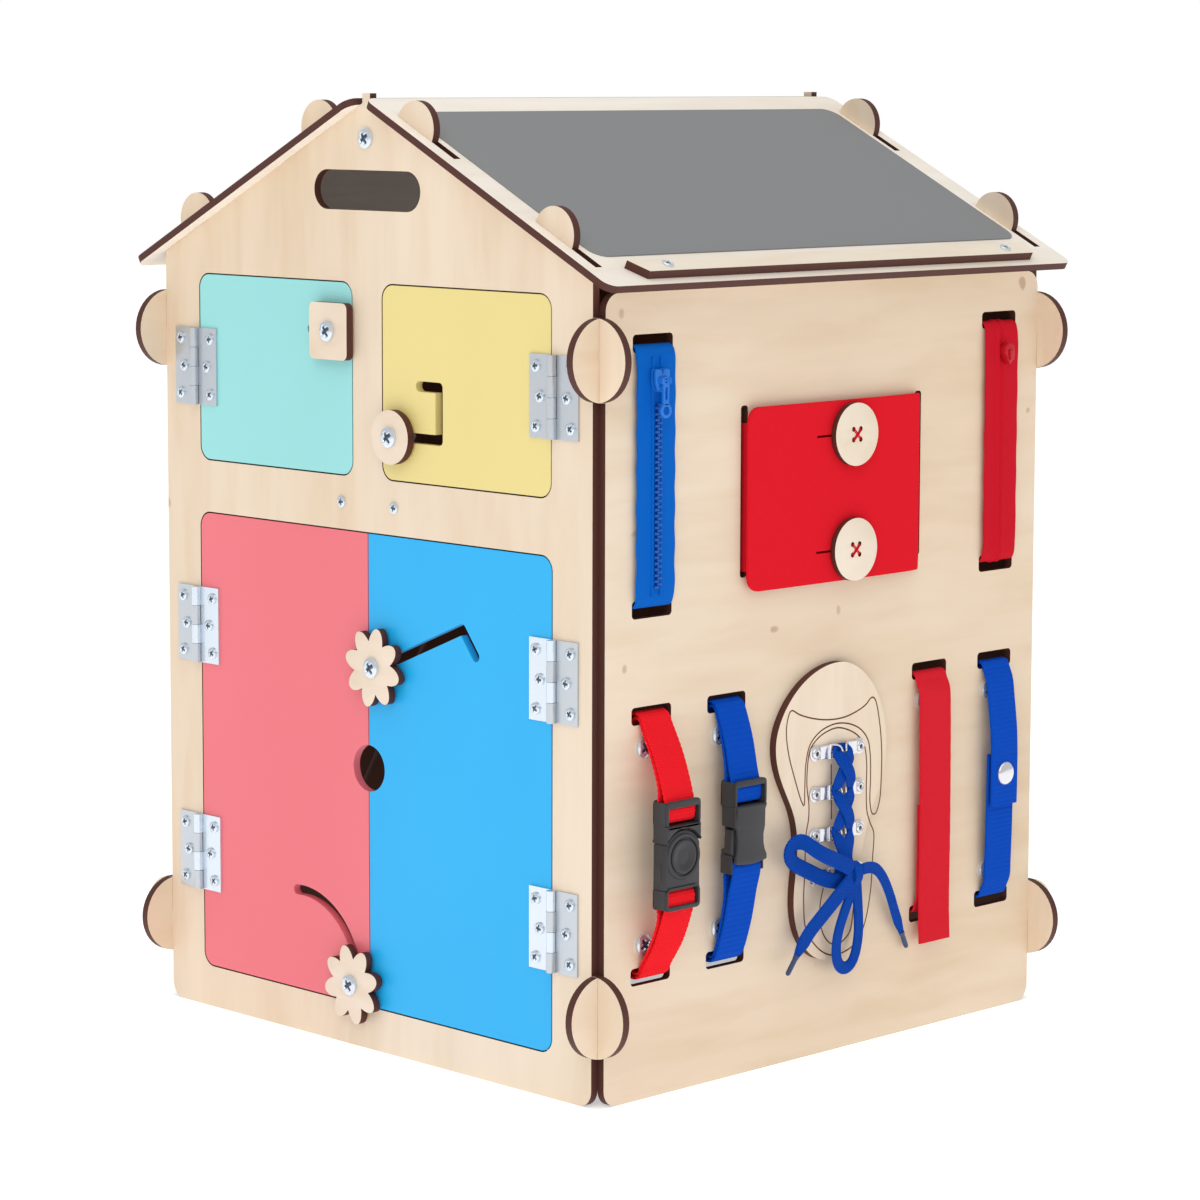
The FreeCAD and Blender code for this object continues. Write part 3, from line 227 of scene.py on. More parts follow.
def rod(u0, u1, v, w, radius):
    """A straight round bar across a board."""
    return tube(np.stack([np.linspace(u0, u1, 9), np.full(9, v), np.full(9, w)], -1), radius)


def lathe(profile, centre=(0, 0), number=0, count=48, dent=None):
    """A turned part: the profile (r, w) round the centre; dent(x, y) lowers its upper faces."""
    profile = np.asarray(profile, float)
    angle = full_turn(count)
    x = profile[:, :1] * np.cos(angle)
    y = profile[:, :1] * np.sin(angle)
    w = np.broadcast_to(profile[:, 1:], x.shape).copy()
    if dent is not None:
        w -= dent(x, y) * (w > profile[:, 1].max() - 0.9)
    return shell(np.stack([x + centre[0], y + centre[1], w], -1), number)


def pebble(centre, half, number=0, power=0.4, sides=16, up=9):
    """A block with soft edges: x = a f(cos v) f(cos u), y = b f(cos v) f(sin u), z = c f(sin v)."""
    u = full_turn(sides)[None]
    v = np.linspace(-1.45, 1.45, up)[:, None]

    def f(t):
        return np.sign(t) * np.abs(t) ** power

    rings = np.stack([f(np.cos(v)) * f(np.cos(u)), f(np.cos(v)) * f(np.sin(u)), f(np.sin(v)) + 0 * u], -1)
    return shell(rings * np.asarray(half, float) + np.asarray(centre, float), number)


# %% Flat parts
def circle(x, y, radius, count=48):
    """A closed outline, counter-clockwise."""
    t = full_turn(count)
    return np.stack([x + radius * np.cos(t), y + radius * np.sin(t)], -1)


def soft_corners(points, radius, count=7):
    """A polygon with swept corners: the curve of each runs between its two tangent points."""
    p = np.asarray(points, float)
    radii = np.broadcast_to(np.asarray(radius, float), (len(p),))
    rows = []
    t = np.linspace(0, 1, count)[:, None]
    for before, here, after, r in zip(np.roll(p, 1, 0), p, np.roll(p, -1, 0), radii):
        a = here + unit(before - here) * r
        b = here + unit(after - here) * r
        rows.append((1 - t) ** 2 * a + 2 * t * (1 - t) * here + t ** 2 * b if r > 0 else here[None])
    return np.vstack(rows)


def block(x0, x1, y0, y1, radius):
    """An upright rectangle with round corners; its sides may come in either order."""
    x0, x1 = sorted((x0, x1))
    return soft_corners([(x0, y0), (x1, y0), (x1, y1), (x0, y1)], radius)


def plate(rims, low, high, bevel=0.3, steps=3):
    """Outlines raised from low to high with rounded rims: the first is the edge, the others are holes.

    A rim is shifted inwards by bevel (1 - sin t) at the height bevel (1 - cos t) from each face.
    """
    t = np.linspace(0, math.pi / 2, steps)
    inset = np.concatenate([bevel * (1 - np.sin(t)), bevel * (1 - np.sin(t))[::-1]])
    height = np.concatenate([low + bevel * (1 - np.cos(t)), high - bevel * (1 - np.cos(t))[::-1]])
    points, quads, uv, start, rows = [], [], [], 0, []
    for index, rim in enumerate(rims):
        area = np.sum(rim[:, 0] * np.roll(rim[:, 1], -1) - rim[:, 1] * np.roll(rim[:, 0], -1))
        rim = rim if (area > 0) == (index == 0) else rim[::-1]
        run = np.roll(rim, -1, 0) - np.roll(rim, 1, 0)
        out = unit(np.stack([run[:, 1], -run[:, 0]], -1))
        flat = rim[None] - inset[:, None, None] * out[None]
        rings = np.concatenate([flat, np.broadcast_to(height[:, None, None], flat.shape[:2] + (1,))], -1)
        part = shell(rings, caps=False)
        points.append(part["points"])
        quads.append(part["quads"] + start)
        rows.append((start, len(rim), flat[0]))
        start += len(part["points"])
    triangles = tessellate_polygon([[Vector((x, y, 0)) for x, y in r[2]] for r in rows])
    lower = np.concatenate([r[0] + np.arange(r[1]) for r in rows])
    upper = np.concatenate([r[0] + (2 * steps - 1) * r[1] + np.arange(r[1]) for r in rows])
    faces = [[int(lower[i]) for i in tri] for tri in triangles]
    faces += [[int(upper[i]) for i in tri] for tri in triangles]
    points = np.vstack(points)
    return {"points": points, "quads": np.vstack(quads), "faces": faces, "uv": points[:, :2], "number": 0}


def make(name, parts, place, materials, replaces=(), body="house", angle=38):
    """Join shells given on a board into one object that rides on a body and stands for CAD nodes."""
    mesh = bpy.data.meshes.new(name)
    points, faces, uv, numbers, start = [], [], [], [], 0
    for part in parts:
        points.append(part["points"])
        uv.append(part["uv"])
        faces += (part["quads"] + start).tolist() + [[start + i for i in face] for face in part["faces"]]
        numbers += np.broadcast_to(part["number"], len(part["quads"])).tolist()
        numbers += [int(np.min(part["number"]))] * len(part["faces"])
        start += len(part["points"])
    mesh.from_pydata(place(np.vstack(points)), [], faces)
    uv = np.vstack(uv)
    order = np.zeros(len(mesh.loops), np.int32)
    mesh.loops.foreach_get("vertex_index", order)
    mesh.uv_layers.new(name="UVMap").data.foreach_set("uv", uv[order].ravel())
    mesh.polygons.foreach_set("material_index", np.array(numbers, np.int32))
    for material in materials:
        mesh.materials.append(material)
    work = bmesh.new()
    work.from_mesh(mesh)
    bmesh.ops.recalc_face_normals(work, faces=work.faces)
    work.to_mesh(mesh)
    work.free()
    mesh.shade_smooth()
    mesh.set_sharp_from_angle(angle=math.radians(angle))
    piece = bpy.data.objects.new(name, mesh)
    bpy.context.scene.collection.objects.link(piece)
    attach(piece, body)
    if replaces:
        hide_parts(*replaces)
    print(name, len(mesh.polygons), "faces")
    return piece


# %% [markdown]
# ## Finishes
# Birch ply is pale with faint clouds, a fine grain and a few pin knots, and its laser-cut edges are burnt
# brown. The face, the edge and the inner side, painted dark brown as the shade inside the house, are told
# apart by where a surface faces and lies, so one material serves a whole panel. Paint covers the face and
# the cut edge of a door alike.

# %% Finishes
def linear(r, g, b):
    """sRGB from 0 to 255 to linear light."""
    c = np.array([r, g, b]) / 255
    return (*np.where(c <= 0.04045, c / 12.92, ((c + 0.055) / 1.055) ** 2.4).tolist(), 1.0)


BURNT = linear(84, 48, 40)
# painted shade: the flat dark brown that stands for the shade inside the closed house
INDOOR_SHADE = linear(96, 60, 46)
INSIDE = (HALF - 3.7) * MM          # just outside the inner faces of the 4 mm walls
UNDER_ROOF = (RIDGE_Z - 2.5) * MM   # between the two faces of the roofs
FACING = 0.7                        # the cosine past which a surface counts as facing a direction


class Finish:
    """A Principled material with short calls for the nodes that feed it."""

    def __init__(self, name, colour=(0.8, 0.8, 0.8, 1), rough=0.6, metal=0.0, gloss=0.3):
        self.material = bpy.data.materials.new(name)
        self.material.use_nodes = True
        self.tree = self.material.node_tree
        self.shader = self.tree.nodes["Principled BSDF"]
        self.shader.inputs["Base Color"].default_value = colour
        self.shader.inputs["Roughness"].default_value = rough
        self.shader.inputs["Metallic"].default_value = metal
        self.shader.inputs["Specular IOR Level"].default_value = gloss

    def node(self, kind, inputs=(), **settings):
        node = self.tree.nodes.new(kind)
        for key, value in settings.items():
            setattr(node, key, value)
        for key, value in dict(inputs).items():
            if isinstance(value, bpy.types.NodeSocket):
                self.tree.links.new(value, node.inputs[key])
            else:
                node.inputs[key].default_value = value
        return node

    def place(self, scale=(1, 1, 1), kind="Object"):
        where = self.node("ShaderNodeTexCoord")
        return self.node("ShaderNodeMapping", {"Vector": where.outputs[kind], "Scale": scale}).outputs[0]

    def split(self, where):
        return self.node("ShaderNodeSeparateXYZ", {0: where}).outputs

    def noise(self, where, scale, detail=3.0, distortion=0.0):
        return self.node("ShaderNodeTexNoise", {"Vector": where, "Scale": scale, "Detail": detail,
                                                "Distortion": distortion}).outputs["Fac"]

    def ramp(self, value, stops):
        ramp = self.node("ShaderNodeValToRGB", {"Fac": value})
        band = ramp.color_ramp
        while len(band.elements) < len(stops):
            band.elements.new(0.5)
        for element, (at, colour) in zip(band.elements, stops):
            element.position = at
            element.color = colour
        return ramp.outputs["Color"]

    def mix(self, factor, a, b):
        return self.node("ShaderNodeMix", {0: factor, 6: a, 7: b}, data_type="RGBA").outputs[2]

    def math(self, kind, a, b=0.0):
        return self.node("ShaderNodeMath", {0: a, 1: b}, operation=kind).outputs[0]

    def facing(self, normal):
        where = self.node("ShaderNodeTexCoord")
        return self.node("ShaderNodeVectorMath", {0: where.outputs["Normal"], 1: normal},
                         operation="DOT_PRODUCT").outputs["Value"]

    def indoors(self):
        """1 within the walls and under the roofs: |x| and |y| small, z + |x| tan(slope) below the ridge."""
        parts = self.split(self.node("ShaderNodeTexCoord").outputs["Object"])
        x = self.math("ABSOLUTE", self.math("SUBTRACT", parts[0], SHIFT * MM))
        y = self.math("ABSOLUTE", parts[1])
        roof_line = self.math("ADD", parts[2], self.math("MULTIPLY", x, math.tan(SLOPE)))
        walls = self.math("MULTIPLY", self.math("LESS_THAN", x, INSIDE), self.math("LESS_THAN", y, INSIDE))
        return self.math("MULTIPLY", walls, self.math("LESS_THAN", roof_line, UNDER_ROOF))

    def colour(self, socket):
        self.tree.links.new(socket, self.shader.inputs["Base Color"])

    def bump(self, height, distance, strength=1.0):
        bump = self.node("ShaderNodeBump", {"Height": height, "Distance": distance, "Strength": strength})
        self.tree.links.new(bump.outputs[0], self.shader.inputs["Normal"])


def birch(name, normal, stretch, face=(236, 217, 193)):
    """Ply: clouds and grain on the faces, a burnt edge, and painted dark brown shade on what faces into the
    house.
    """
    f = Finish(name, rough=0.55, gloss=0.25)
    r, g, b = face
    pale = linear(min(r + 8, 255), min(g + 9, 255), min(b + 12, 255))
    plain = linear(r, g, b)
    deep = linear(r - 10, g - 14, b - 20)
    clouds = f.noise(f.place(tuple(0.35 + 0.65 * s / max(stretch) for s in stretch)), 5.0, 2.0, 0.6)
    grain = f.noise(f.place(stretch), 9.0, 6.0, 0.3)
    tone = f.ramp(clouds, [(0.35, deep), (0.52, plain), (0.7, pale)])
    lines = f.ramp(grain, [(0.3, linear(r - 16, g - 24, b - 32)), (0.55, plain), (0.8, pale)])
    wood = f.mix(0.35, tone, lines)
    spots = f.noise(f.place(), 75.0, 0.0)
    knots = f.ramp(spots, [(0.86, (0, 0, 0, 1)), (0.89, (0.6, 0.6, 0.6, 1))])
    wood = f.mix(knots, wood, linear(176, 140, 108))
    turn_to = f.facing(normal)
    # painted shade: what faces into the house, within the walls and under the roofs, turns dark brown
    shaded_inside = f.math("MULTIPLY", f.math("LESS_THAN", turn_to, -FACING), f.indoors())
    on_face = f.math("GREATER_THAN", f.math("ABSOLUTE", turn_to), FACING)
    f.colour(f.mix(on_face, BURNT, f.mix(shaded_inside, wood, INDOOR_SHADE)))
    return f.material


def painted(name, rgb):
    """Satin paint on the face and the cut edges; the inner side gets the painted dark brown shade of the
    house's inside.
    """
    f = Finish(name, rough=0.42, gloss=0.35)
    r, g, b = rgb
    tone = f.noise(f.place((1, 1, 0.4)), 6.0, 3.0)
    paint = f.ramp(tone, [(0.3, linear(max(r - 5, 0), max(g - 6, 0), max(b - 6, 0))), (0.7, linear(r, g, b))])
    f.colour(f.mix(f.math("LESS_THAN", f.facing((0, -1, 0)), -FACING), paint, INDOOR_SHADE))
    return f.material


def woven(name, rgb, pitch=1.0, rough=0.85, depth=0.0002):
    """Cloth: threads across the band, by its own surface coordinates in millimetres."""
    f = Finish(name, linear(*rgb), rough=rough, gloss=0.1)
    parts = f.split(f.place((1 / pitch, 1 / pitch, 1), "UV"))
    one, two = (f.math("SINE", f.math("MULTIPLY", parts[k], 2 * math.pi)) for k in (0, 1))
    f.bump(f.math("MULTIPLY", one, two), depth, 0.7)
    return f.material


def braided(name, rgb, pitch=1.2):
    """A flat braid: two sets of threads crossing on the slant, with painted shade in the hollows between
    them.
    """
    f = Finish(name, linear(*rgb), rough=0.8, gloss=0.12)
    turns = 2 * math.pi / pitch
    parts = f.split(f.place((turns, turns, 1), "UV"))
    one, two = (f.math("SINE", f.math(kind, parts[0], parts[1])) for kind in ("ADD", "SUBTRACT"))
    height = f.math("MAXIMUM", one, two)
    f.bump(height, 0.0004, 0.8)
    r, g, b = rgb
    # painted shade: the colour darkens where the weave is low
    f.colour(f.ramp(height, [(0.0, linear(r, int(g * 0.7), int(b * 0.75))), (0.8, linear(r, g, b))]))
    return f.material


def felt(name, rgb):
    """Matted wool: fine noise with no direction."""
    f = Finish(name, linear(*rgb), rough=0.95, gloss=0.05)
    f.bump(f.noise(f.place(), 900.0, 4.0), 0.0003, 0.5)
    return f.material


def metal(name, rgb, rough=0.3, brushed=0.0):
    f = Finish(name, linear(*rgb), rough=rough, metal=0.75, gloss=0.5)
    if brushed:
        f.bump(f.noise(f.place(), 400.0, 2.0), 0.0001, brushed)
    return f.material


def moulded(name, rgb, rough, gloss=0.3, metal=0.0):
    return Finish(name, linear(*rgb), rough, metal, gloss).material


NORMAL_ROOF = (math.sin(SLOPE), 0, math.cos(SLOPE))
NORMAL_LEFT = (-math.sin(SLOPE), 0, math.cos(SLOPE))
UPRIGHT, LEVEL = (9, 9, 1.4), (9, 1.4, 9)    # the grain runs along the axis with the small number
wood_front = birch("birch_front", (0, -1, 0), UPRIGHT)
wood_back = birch("birch_back", (0, 1, 0), UPRIGHT)
wood_right = birch("birch_right", (1, 0, 0), LEVEL)
wood_left = birch("birch_left", (-1, 0, 0), LEVEL)
# painted light: the roof and the chalk ledge on it get a paler face colour for the light from above
roof_birch_painted_light = birch("birch_roof", NORMAL_ROOF, LEVEL, (248, 239, 226))
left_roof_birch_painted_light = birch("birch_roof_left", NORMAL_LEFT, LEVEL, (248, 239, 226))
wood_knob = birch("birch_knob", (0, -1, 0), (4, 9, 9), (238, 220, 200))
wood_shoe = birch("birch_shoe", (1, 0, 0), UPRIGHT, (238, 220, 198))
ledge_birch_painted_light = birch("birch_ledge", NORMAL_ROOF, LEVEL, (244, 232, 214))
wood_button = birch("birch_button", (1, 0, 0), (4, 4, 4), (240, 227, 208))
turquoise = painted("paint_turquoise", (158, 227, 226))
yellow = painted("paint_yellow", (238, 220, 146))
pink = painted("paint_pink", (241, 122, 132))
blue = painted("paint_blue", (38, 182, 245))
slate = moulded("chalkboard", (140, 141, 142), 0.9, 0.1)
zinc = metal("zinc", (196, 202, 208), 0.3, 0.1)
zinc_bright = metal("zinc_bright", (216, 226, 236), 0.24)
nickel = metal("nickel", (222, 222, 226), 0.18)
# painted shade: the dark disc in the hole of each hollow rivet
rivet_hole_shade = moulded("rivet_hole_shade", (38, 34, 34), 0.7)
# painted shade: the darker finish of the cross recess in a screw head
recess = moulded("recess", (86, 98, 110), 0.4, metal=0.5)
red_web = woven("webbing_red", (246, 28, 40), 1.3)
blue_web = woven("webbing_blue", (0, 76, 192), 1.4)
blue_tape = woven("tape_blue", (0, 100, 200), 0.8, depth=0.0001)
red_tape = woven("tape_red", (206, 20, 40), 0.8, depth=0.0001)
hook_red = woven("hook_and_loop", (226, 34, 50), 0.9, 0.9)
felt_red = felt("felt_red", (224, 28, 42))
lace_blue = braided("lace_blue", (0, 84, 204))
thread_red = woven("thread_red", (205, 20, 40), 0.5)
teeth_blue = moulded("zip_teeth", (0, 84, 176), 0.45, 0.35)
slider_blue = moulded("slider_blue", (20, 116, 214), 0.35, 0.4)
slider_red = moulded("slider_red", (190, 16, 34), 0.35, 0.4)
black = moulded("black_plastic", (56, 56, 59), 0.42)
aglet = moulded("aglet", (52, 70, 110), 0.3, 0.4)
engraved = moulded("engraved_line", (104, 66, 44), 0.8, 0.1)

# %% [markdown]
# ## The loose ends of the shoe lace
# The lace is a flat braid. Two bows and two tails leave the knot, and each follows the route that the CAD
# model gives it, as a curve of second degree through control points. The braid lies flat to the wall and
# turns with its route, and a moulded tip closes each tail.

# %% Loose lace ends
def route(points):
    """Points in millimetres on the curve of second degree that the control points give."""
    curve = bpy.data.curves.new("route", "CURVE")
    curve.dimensions = "3D"
    line = curve.splines.new("NURBS")
    line.points.add(len(points) - 1)
    metres = right(points)
    line.points.foreach_set("co", np.column_stack([metres, np.ones(len(points))]).ravel())
    line.order_u = 3
    line.use_endpoint_u = True
    line.resolution_u = 24
    holder = bpy.data.objects.new("route", curve)
    mesh = bpy.data.meshes.new_from_object(holder)
    co = np.zeros(len(mesh.vertices) * 3)
    mesh.vertices.foreach_get("co", co)
    bpy.data.objects.remove(holder)
    co = co.reshape(-1, 3) / MM
    return even(np.stack([co[:, 1], co[:, 2], co[:, 0] - HALF - SHIFT], -1), 0.6)


def in_plane(line):
    """The direction across a line that lies flat to the wall: tangent x out, of unit length."""
    return unit(np.cross(np.gradient(line, axis=0), (0, 0, 1.0)))


def length_of(line):
    return float(arc(line)[-1])


def braid(line, width, thick=1.5, taper=0.0):
    """A flat braid; with taper its far end narrows to that share over 8 mm."""
    s = np.linspace(0, length_of(line), len(line))
    scale = 1 - (1 - taper) * np.clip((s - s[-1] + 8) / 8, 0, 1) if taper else None
    return strip(line, in_plane(line), flat_section(width, thick), (0.1, 1.2), (0.1, 1.2), scale)


LEFT_BOW = [(0.2, 91, 15), (-10, 96, 16.4), (-24, 102, 16), (-34, 110, 13), (-40.5, 106, 11), (-38, 99, 9.8),
            (-26, 93, 10.2), (-12, 86, 11.8), (-0.6, 84.6, 12.2)]
LOWER_BOW = [(2, 83.4, 14.6), (-3, 72, 13.4), (-6.4, 58, 11), (-4, 46, 8.8), (2.5, 40.5, 7.8), (9.5, 43.5, 8),
             (12, 56, 9), (9, 70, 11), (6.6, 83, 12)]
RIGHT_TAIL = [(8.4, 89.6, 14), (17, 90, 12.6), (27, 84, 10), (36, 73, 7.4), (44, 60, 4.6), (50, 50, 3.4)]
LEFT_TAIL = [(-0.4, 86.4, 15), (-10, 80, 15.6), (-20, 70, 13), (-27, 62, 10.4), (-33, 52, 9)]


def tip(name, line):
    """A moulded tip 9 mm long: a slim tube that the last of the braid runs into."""
    along = unit(line[-1] - line[-4])
    points = line[-1] + along * np.linspace(-1.5, 8.9, 16)[:, None]
    radius = np.array([1.5, 1.5, 1.45] + [1.25] * 11 + [1.1, 0.6])
    sleeve = tube(points, radius, out=(0.1, 0.2, 1))
    return make(name, [sleeve], right, [aglet], ["lace_tips"])


for name, points, width, far, taper in (
    ("lace_bow_left", LEFT_BOW, 7.4, "knot", 0),
    ("lace_bow_lower", LOWER_BOW, 6.2, "knot", 0),
    ("lace_tail_right", RIGHT_TAIL, 5.6, "fitting", 0.4),
    ("lace_tail_left", LEFT_TAIL, 8.0, "fitting", 0.3),
):
    line = route(points)
    flat = braid(line, width, taper=taper)
    piece = make(name + "_braid", [flat], right, [lace_blue], [name])
    tips = [tip(name + "_tip", line)] if far == "fitting" else []
    print(name, round(length_of(line), 1), "mm")

# %% [markdown]
# ## Panels, doors and knobs
# These are laser-cut plywood, and the CAD meshes already have every tab, slot and hinge. They only need
# the finish of the side they face.

# %% Panels, doors and knobs
for node, finish in {
    "front_panel": wood_front, "back_panel": wood_back, "right_wall": wood_right, "left_wall": wood_left,
    "right_roof": roof_birch_painted_light, "left_roof": left_roof_birch_painted_light, "chalkboard": slate, "chalk_ledge": ledge_birch_painted_light,
    "door_stop": wood_front, "turquoise_door": turquoise, "yellow_door": yellow, "pink_door": pink,
    "blue_door": blue, "square_knob": wood_knob, "round_knob": wood_knob, "shoe_board": wood_shoe,
    "hinge_frame_leaves": zinc, "hinge_pins": zinc_bright, "turquoise_hinge_leaf": zinc,
    "yellow_hinge_leaf": zinc, "pink_hinge_leaf": zinc_bright, "blue_hinge_leaf": zinc_bright,
    "panel_nuts": zinc,
}.items():
    nodes[node].data.materials.clear()
    nodes[node].data.materials.append(finish)
print("finishes set")

# %% [markdown]
# ## Petals of the two flower knobs
# Eight long oval petals stand round a small disc. The outline is the farthest point of any petal along
# each ray from the middle, so the petals merge as one laser-cut piece.

# %% Flower knobs
def flower(x, y, first, reach=19.2, long=8.6, wide=4.9, core=10.5):
    """Radius on a ray: the larger root of ((r cos a - c) / long)^2 + (r sin a / wide)^2 = 1, or the core."""
    angle = full_turn(320)
    a = angle[None] - np.radians(first + 45 * np.arange(8))[:, None]
    centre = reach - long
    qa = (np.cos(a) / long) ** 2 + (np.sin(a) / wide) ** 2
    qb = -2 * centre * np.cos(a) / long ** 2
    qc = (centre / long) ** 2 - 1
    root = qb ** 2 - 4 * qa * qc
    radius = np.where(root > 0, (-qb + np.sqrt(np.maximum(root, 0))) / (2 * qa), 0).max(0)
    radius = np.maximum(radius, core)
    return np.stack([x + radius * np.cos(angle), y + radius * np.sin(angle)], -1)


BLUE_FLOWER = (8.6, 186.6)
PINK_FLOWER = (-7.98, 31.04)
BOLT_HOLE = 2.2
for name, centre, first in (("blue", BLUE_FLOWER, 33), ("pink", PINK_FLOWER, 14)):
    rims = [flower(*centre, first), circle(*centre, BOLT_HOLE)]
    make(name + "_door_flower_petals", [plate(rims, 1.5, 5.5, 0.12)], front, [wood_knob],
         [name + "_door_flower"], name + "_flower")

# %% [markdown]
# ## Screws, bolts and latch fixings
# Small pan-head screws with a cross recess hold the hinges, the chalk ledge and the door stop. Larger
# bolts hold the straps and the gable. Each knob has a bolt with a spacer in front of the door, and a
# washer and a nut behind it. A head is a dome whose recess is two crossed grooves that sink towards the
# middle.

# %% Fasteners
def cross_recess(radius, depth):
    """Two crossed grooves, 0.17 r to each side and 0.58 r long from the middle, with sloping walls."""

    def dent(x, y):
        def groove(across, along):
            a = np.clip((0.17 * radius - np.abs(across)) / (0.12 * radius) + 0.5, 0, 1)
            b = np.clip((0.58 * radius - np.abs(along)) / (0.2 * radius) + 0.5, 0, 1)
            return a * b

        return depth * np.maximum(groove(x, y), groove(y, x))

    return dent


SCREW, BOLT = (2.8, 1.3, 1.4), (4.8, 2.4, 2.0)    # radius and height of the head, radius of the shank


def head(x, y, seat, kind, length, turn=0.6):
    """A domed head on a plain shank, w = seat + h (1 - 0.42 (r / R)^3); the recess has the second finish, a
    painted dark shade.
    """
    radius, height, shank = kind
    r = np.linspace(0.995, 0.02, 22) * radius
    dome = np.stack([r, seat + height * (1 - 0.42 * (r / radius) ** 3)], -1)
    end = seat - length
    under = [(0.05, end), (shank, end), (shank, seat), (radius, seat), (radius, seat + 0.2)]
    c, s = math.cos(turn), math.sin(turn)
    groove = cross_recess(radius, height * 0.62)
    part = lathe(np.vstack([under, dome]), (x, y), 0, 56, lambda p, q: groove(c * p + s * q, c * q - s * p))
    p, q, w = (part["points"][part["quads"]].mean(1) - (x, y, seat)).T
    deep = groove(c * p + s * q, c * q - s * p) > height * 0.3
    part["number"] = (deep & (w > 0.1)).astype(int)
    return part


HINGE_U = 127
UPPER_HINGE = (321.8,)
LOWER_HINGES = (78.4, 193.2)
STOP_U, STOP_Z = 18.7, 263
LEDGE_U, LEDGE_S = 118, 176.05
GABLE_Z = 435.3


def hinge_screws(side, height, toward_door):
    """Three screws of one leaf: two outer ones and one in the middle nearer the pin."""
    sign = -side if toward_door else side
    spots = [(11.2, 13.6), (8.6, 0), (11.2, -13.6)]
    return [head(side * HINGE_U + sign * a, height + b, 1, SCREW, 6, 0.4 + 1.1 * i + height)
            for i, (a, b) in enumerate(spots)]


bright = [zinc_bright, recess]
frame_heads = [s for side in (-1, 1) for z in UPPER_HINGE + LOWER_HINGES
               for s in hinge_screws(side, z, False)]
frame_heads += [head(u, STOP_Z, 0, SCREW, 6, u) for u in (-STOP_U, STOP_U)]
make("frame_screw_heads", frame_heads, front, bright, ["frame_screws"])
make("ledge_screw_heads", [head(u, LEDGE_S, 7.5, SCREW, 9, u) for u in (-LEDGE_U, LEDGE_U)], roof, bright,
     ["frame_screws"])
for name, side, heights in (("turquoise", -1, UPPER_HINGE), ("yellow", 1, UPPER_HINGE),
                            ("pink", -1, LOWER_HINGES), ("blue", 1, LOWER_HINGES)):
    make(name + "_screw_heads", [s for z in heights for s in hinge_screws(side, z, True)], front, bright,
         [name + "_door_screws"], name + "_door")

COLUMNS = (-121.2, -71.8, 71.8, 121.2)
LOOSE_END = 71.8         # this strap hangs free below, so it has no lower bolt
strap_bolts = [head(u - 5, 163, 0, BOLT, 10.5) for u in COLUMNS]
strap_bolts += [head(u - 5, 72.2, 0, BOLT, 10.5) for u in COLUMNS if u != LOOSE_END]
make("strap_bolts", strap_bolts, right, bright, ["panel_bolts"])
for name, place in (("gable_bolt_front", front), ("gable_bolt_back", back)):
    make(name, [head(0, GABLE_Z, 0, BOLT, 10.5)], place, bright, ["panel_bolts"])

for name, spot in (("square_knob", (-22, 344.3)), ("round_knob", (21.6, 296.8)),
                   ("blue_flower", BLUE_FLOWER), ("pink_flower", PINK_FLOWER)):
    hole = circle(*spot, 2.1)
    washer = [circle(*spot, 4.9), hole]
    parts = [head(*spot, 5.5, BOLT, 14.4), plate(washer, 0.1, 1.5, 0.1), plate(washer, -4.9, -4.1, 0.1),
             plate([circle(*spot, 4, 6), hole], -7.9, -4.9, 0.2)]
    make(name + "_fixings_metal", parts, front, bright, [name + "_fixings"], name)

# %% [markdown]
# ## Webbing
# A strap comes out of its slot in the wall, runs to the bar of its buckle, turns round the bar and comes
# back over itself into the slot, where one bolt holds both layers. Flat woven webbing has raised ribs
# across it and a slightly scalloped edge, coarse on the blue straps and fine on the red ones.

# %% Webbing
def lead_in(slot_z, down):
    """(out, v) of a strap from behind the wall through the slot, up to the wall's face."""
    spots = [(-4.9, 26), (-4.9, 18), (-4.9, 13), (-5.0, 9), (-5.3, 4.8), (-4.3, 2.1), (-2, 1), (0.4, 1.9),
             (1.6, 4.6)]
    return [(out, slot_z + down * along) for out, along in spots]


def upright(points, u):
    """(out, v) pairs as (u, v, w) points of a column."""
    p = np.asarray(points, float)
    return np.stack([np.full(len(p), u), p[:, 1], p[:, 0]], -1)


def doubled(slot_z, down, bar_out, bar_z, wrap=2.75, lift=1.75):
    """Both layers of a strap round a bar, as one line that starts and ends behind the wall."""
    gap = abs(bar_z - slot_z)
    under = lead_in(slot_z, down)
    under += [(0.55 * bar_out, slot_z + down * 0.42 * gap),
              (bar_out - wrap + 0.3, slot_z + down * 0.72 * gap), (bar_out - wrap, bar_z - down * 2)]
    turn_over = [(bar_out - 0.7 * wrap, bar_z + down * 0.7 * wrap), (bar_out, bar_z + down * wrap),
                 (bar_out + 0.7 * wrap, bar_z + down * 0.7 * wrap), (bar_out + wrap, bar_z - down * 2)]
    over = [(bar_out + 0.3, slot_z + down * 0.72 * gap),
            (0.55 * bar_out + lift, slot_z + down * 0.42 * gap - down),
            (2.9, slot_z + down * 4.2), (1.2, slot_z + down * 0.9), (-2, slot_z - down * 0.9),
            (-4.9, slot_z - down * 0.6), (-6.7, slot_z + down * 2), (-7.0, slot_z + down * 7)]
    return under + turn_over + over


UPPER_SLOT, LOWER_SLOT = 177.6, 57.6
WEB_W, BUCKLED_W = 20.0, 18.8
RED_U, BLUE_U, HOOK_U, SNAP_U = -120.3, -71.2, 71.8, 121.2


def webbing(points, u, rib=(0, 1), edge=(0, 1), width=WEB_W, thick=1.35):
    line = smooth(upright(points, u), 0.32)
    return strip(line, (1, 0, 0), flat_section(width, thick), rib, edge)


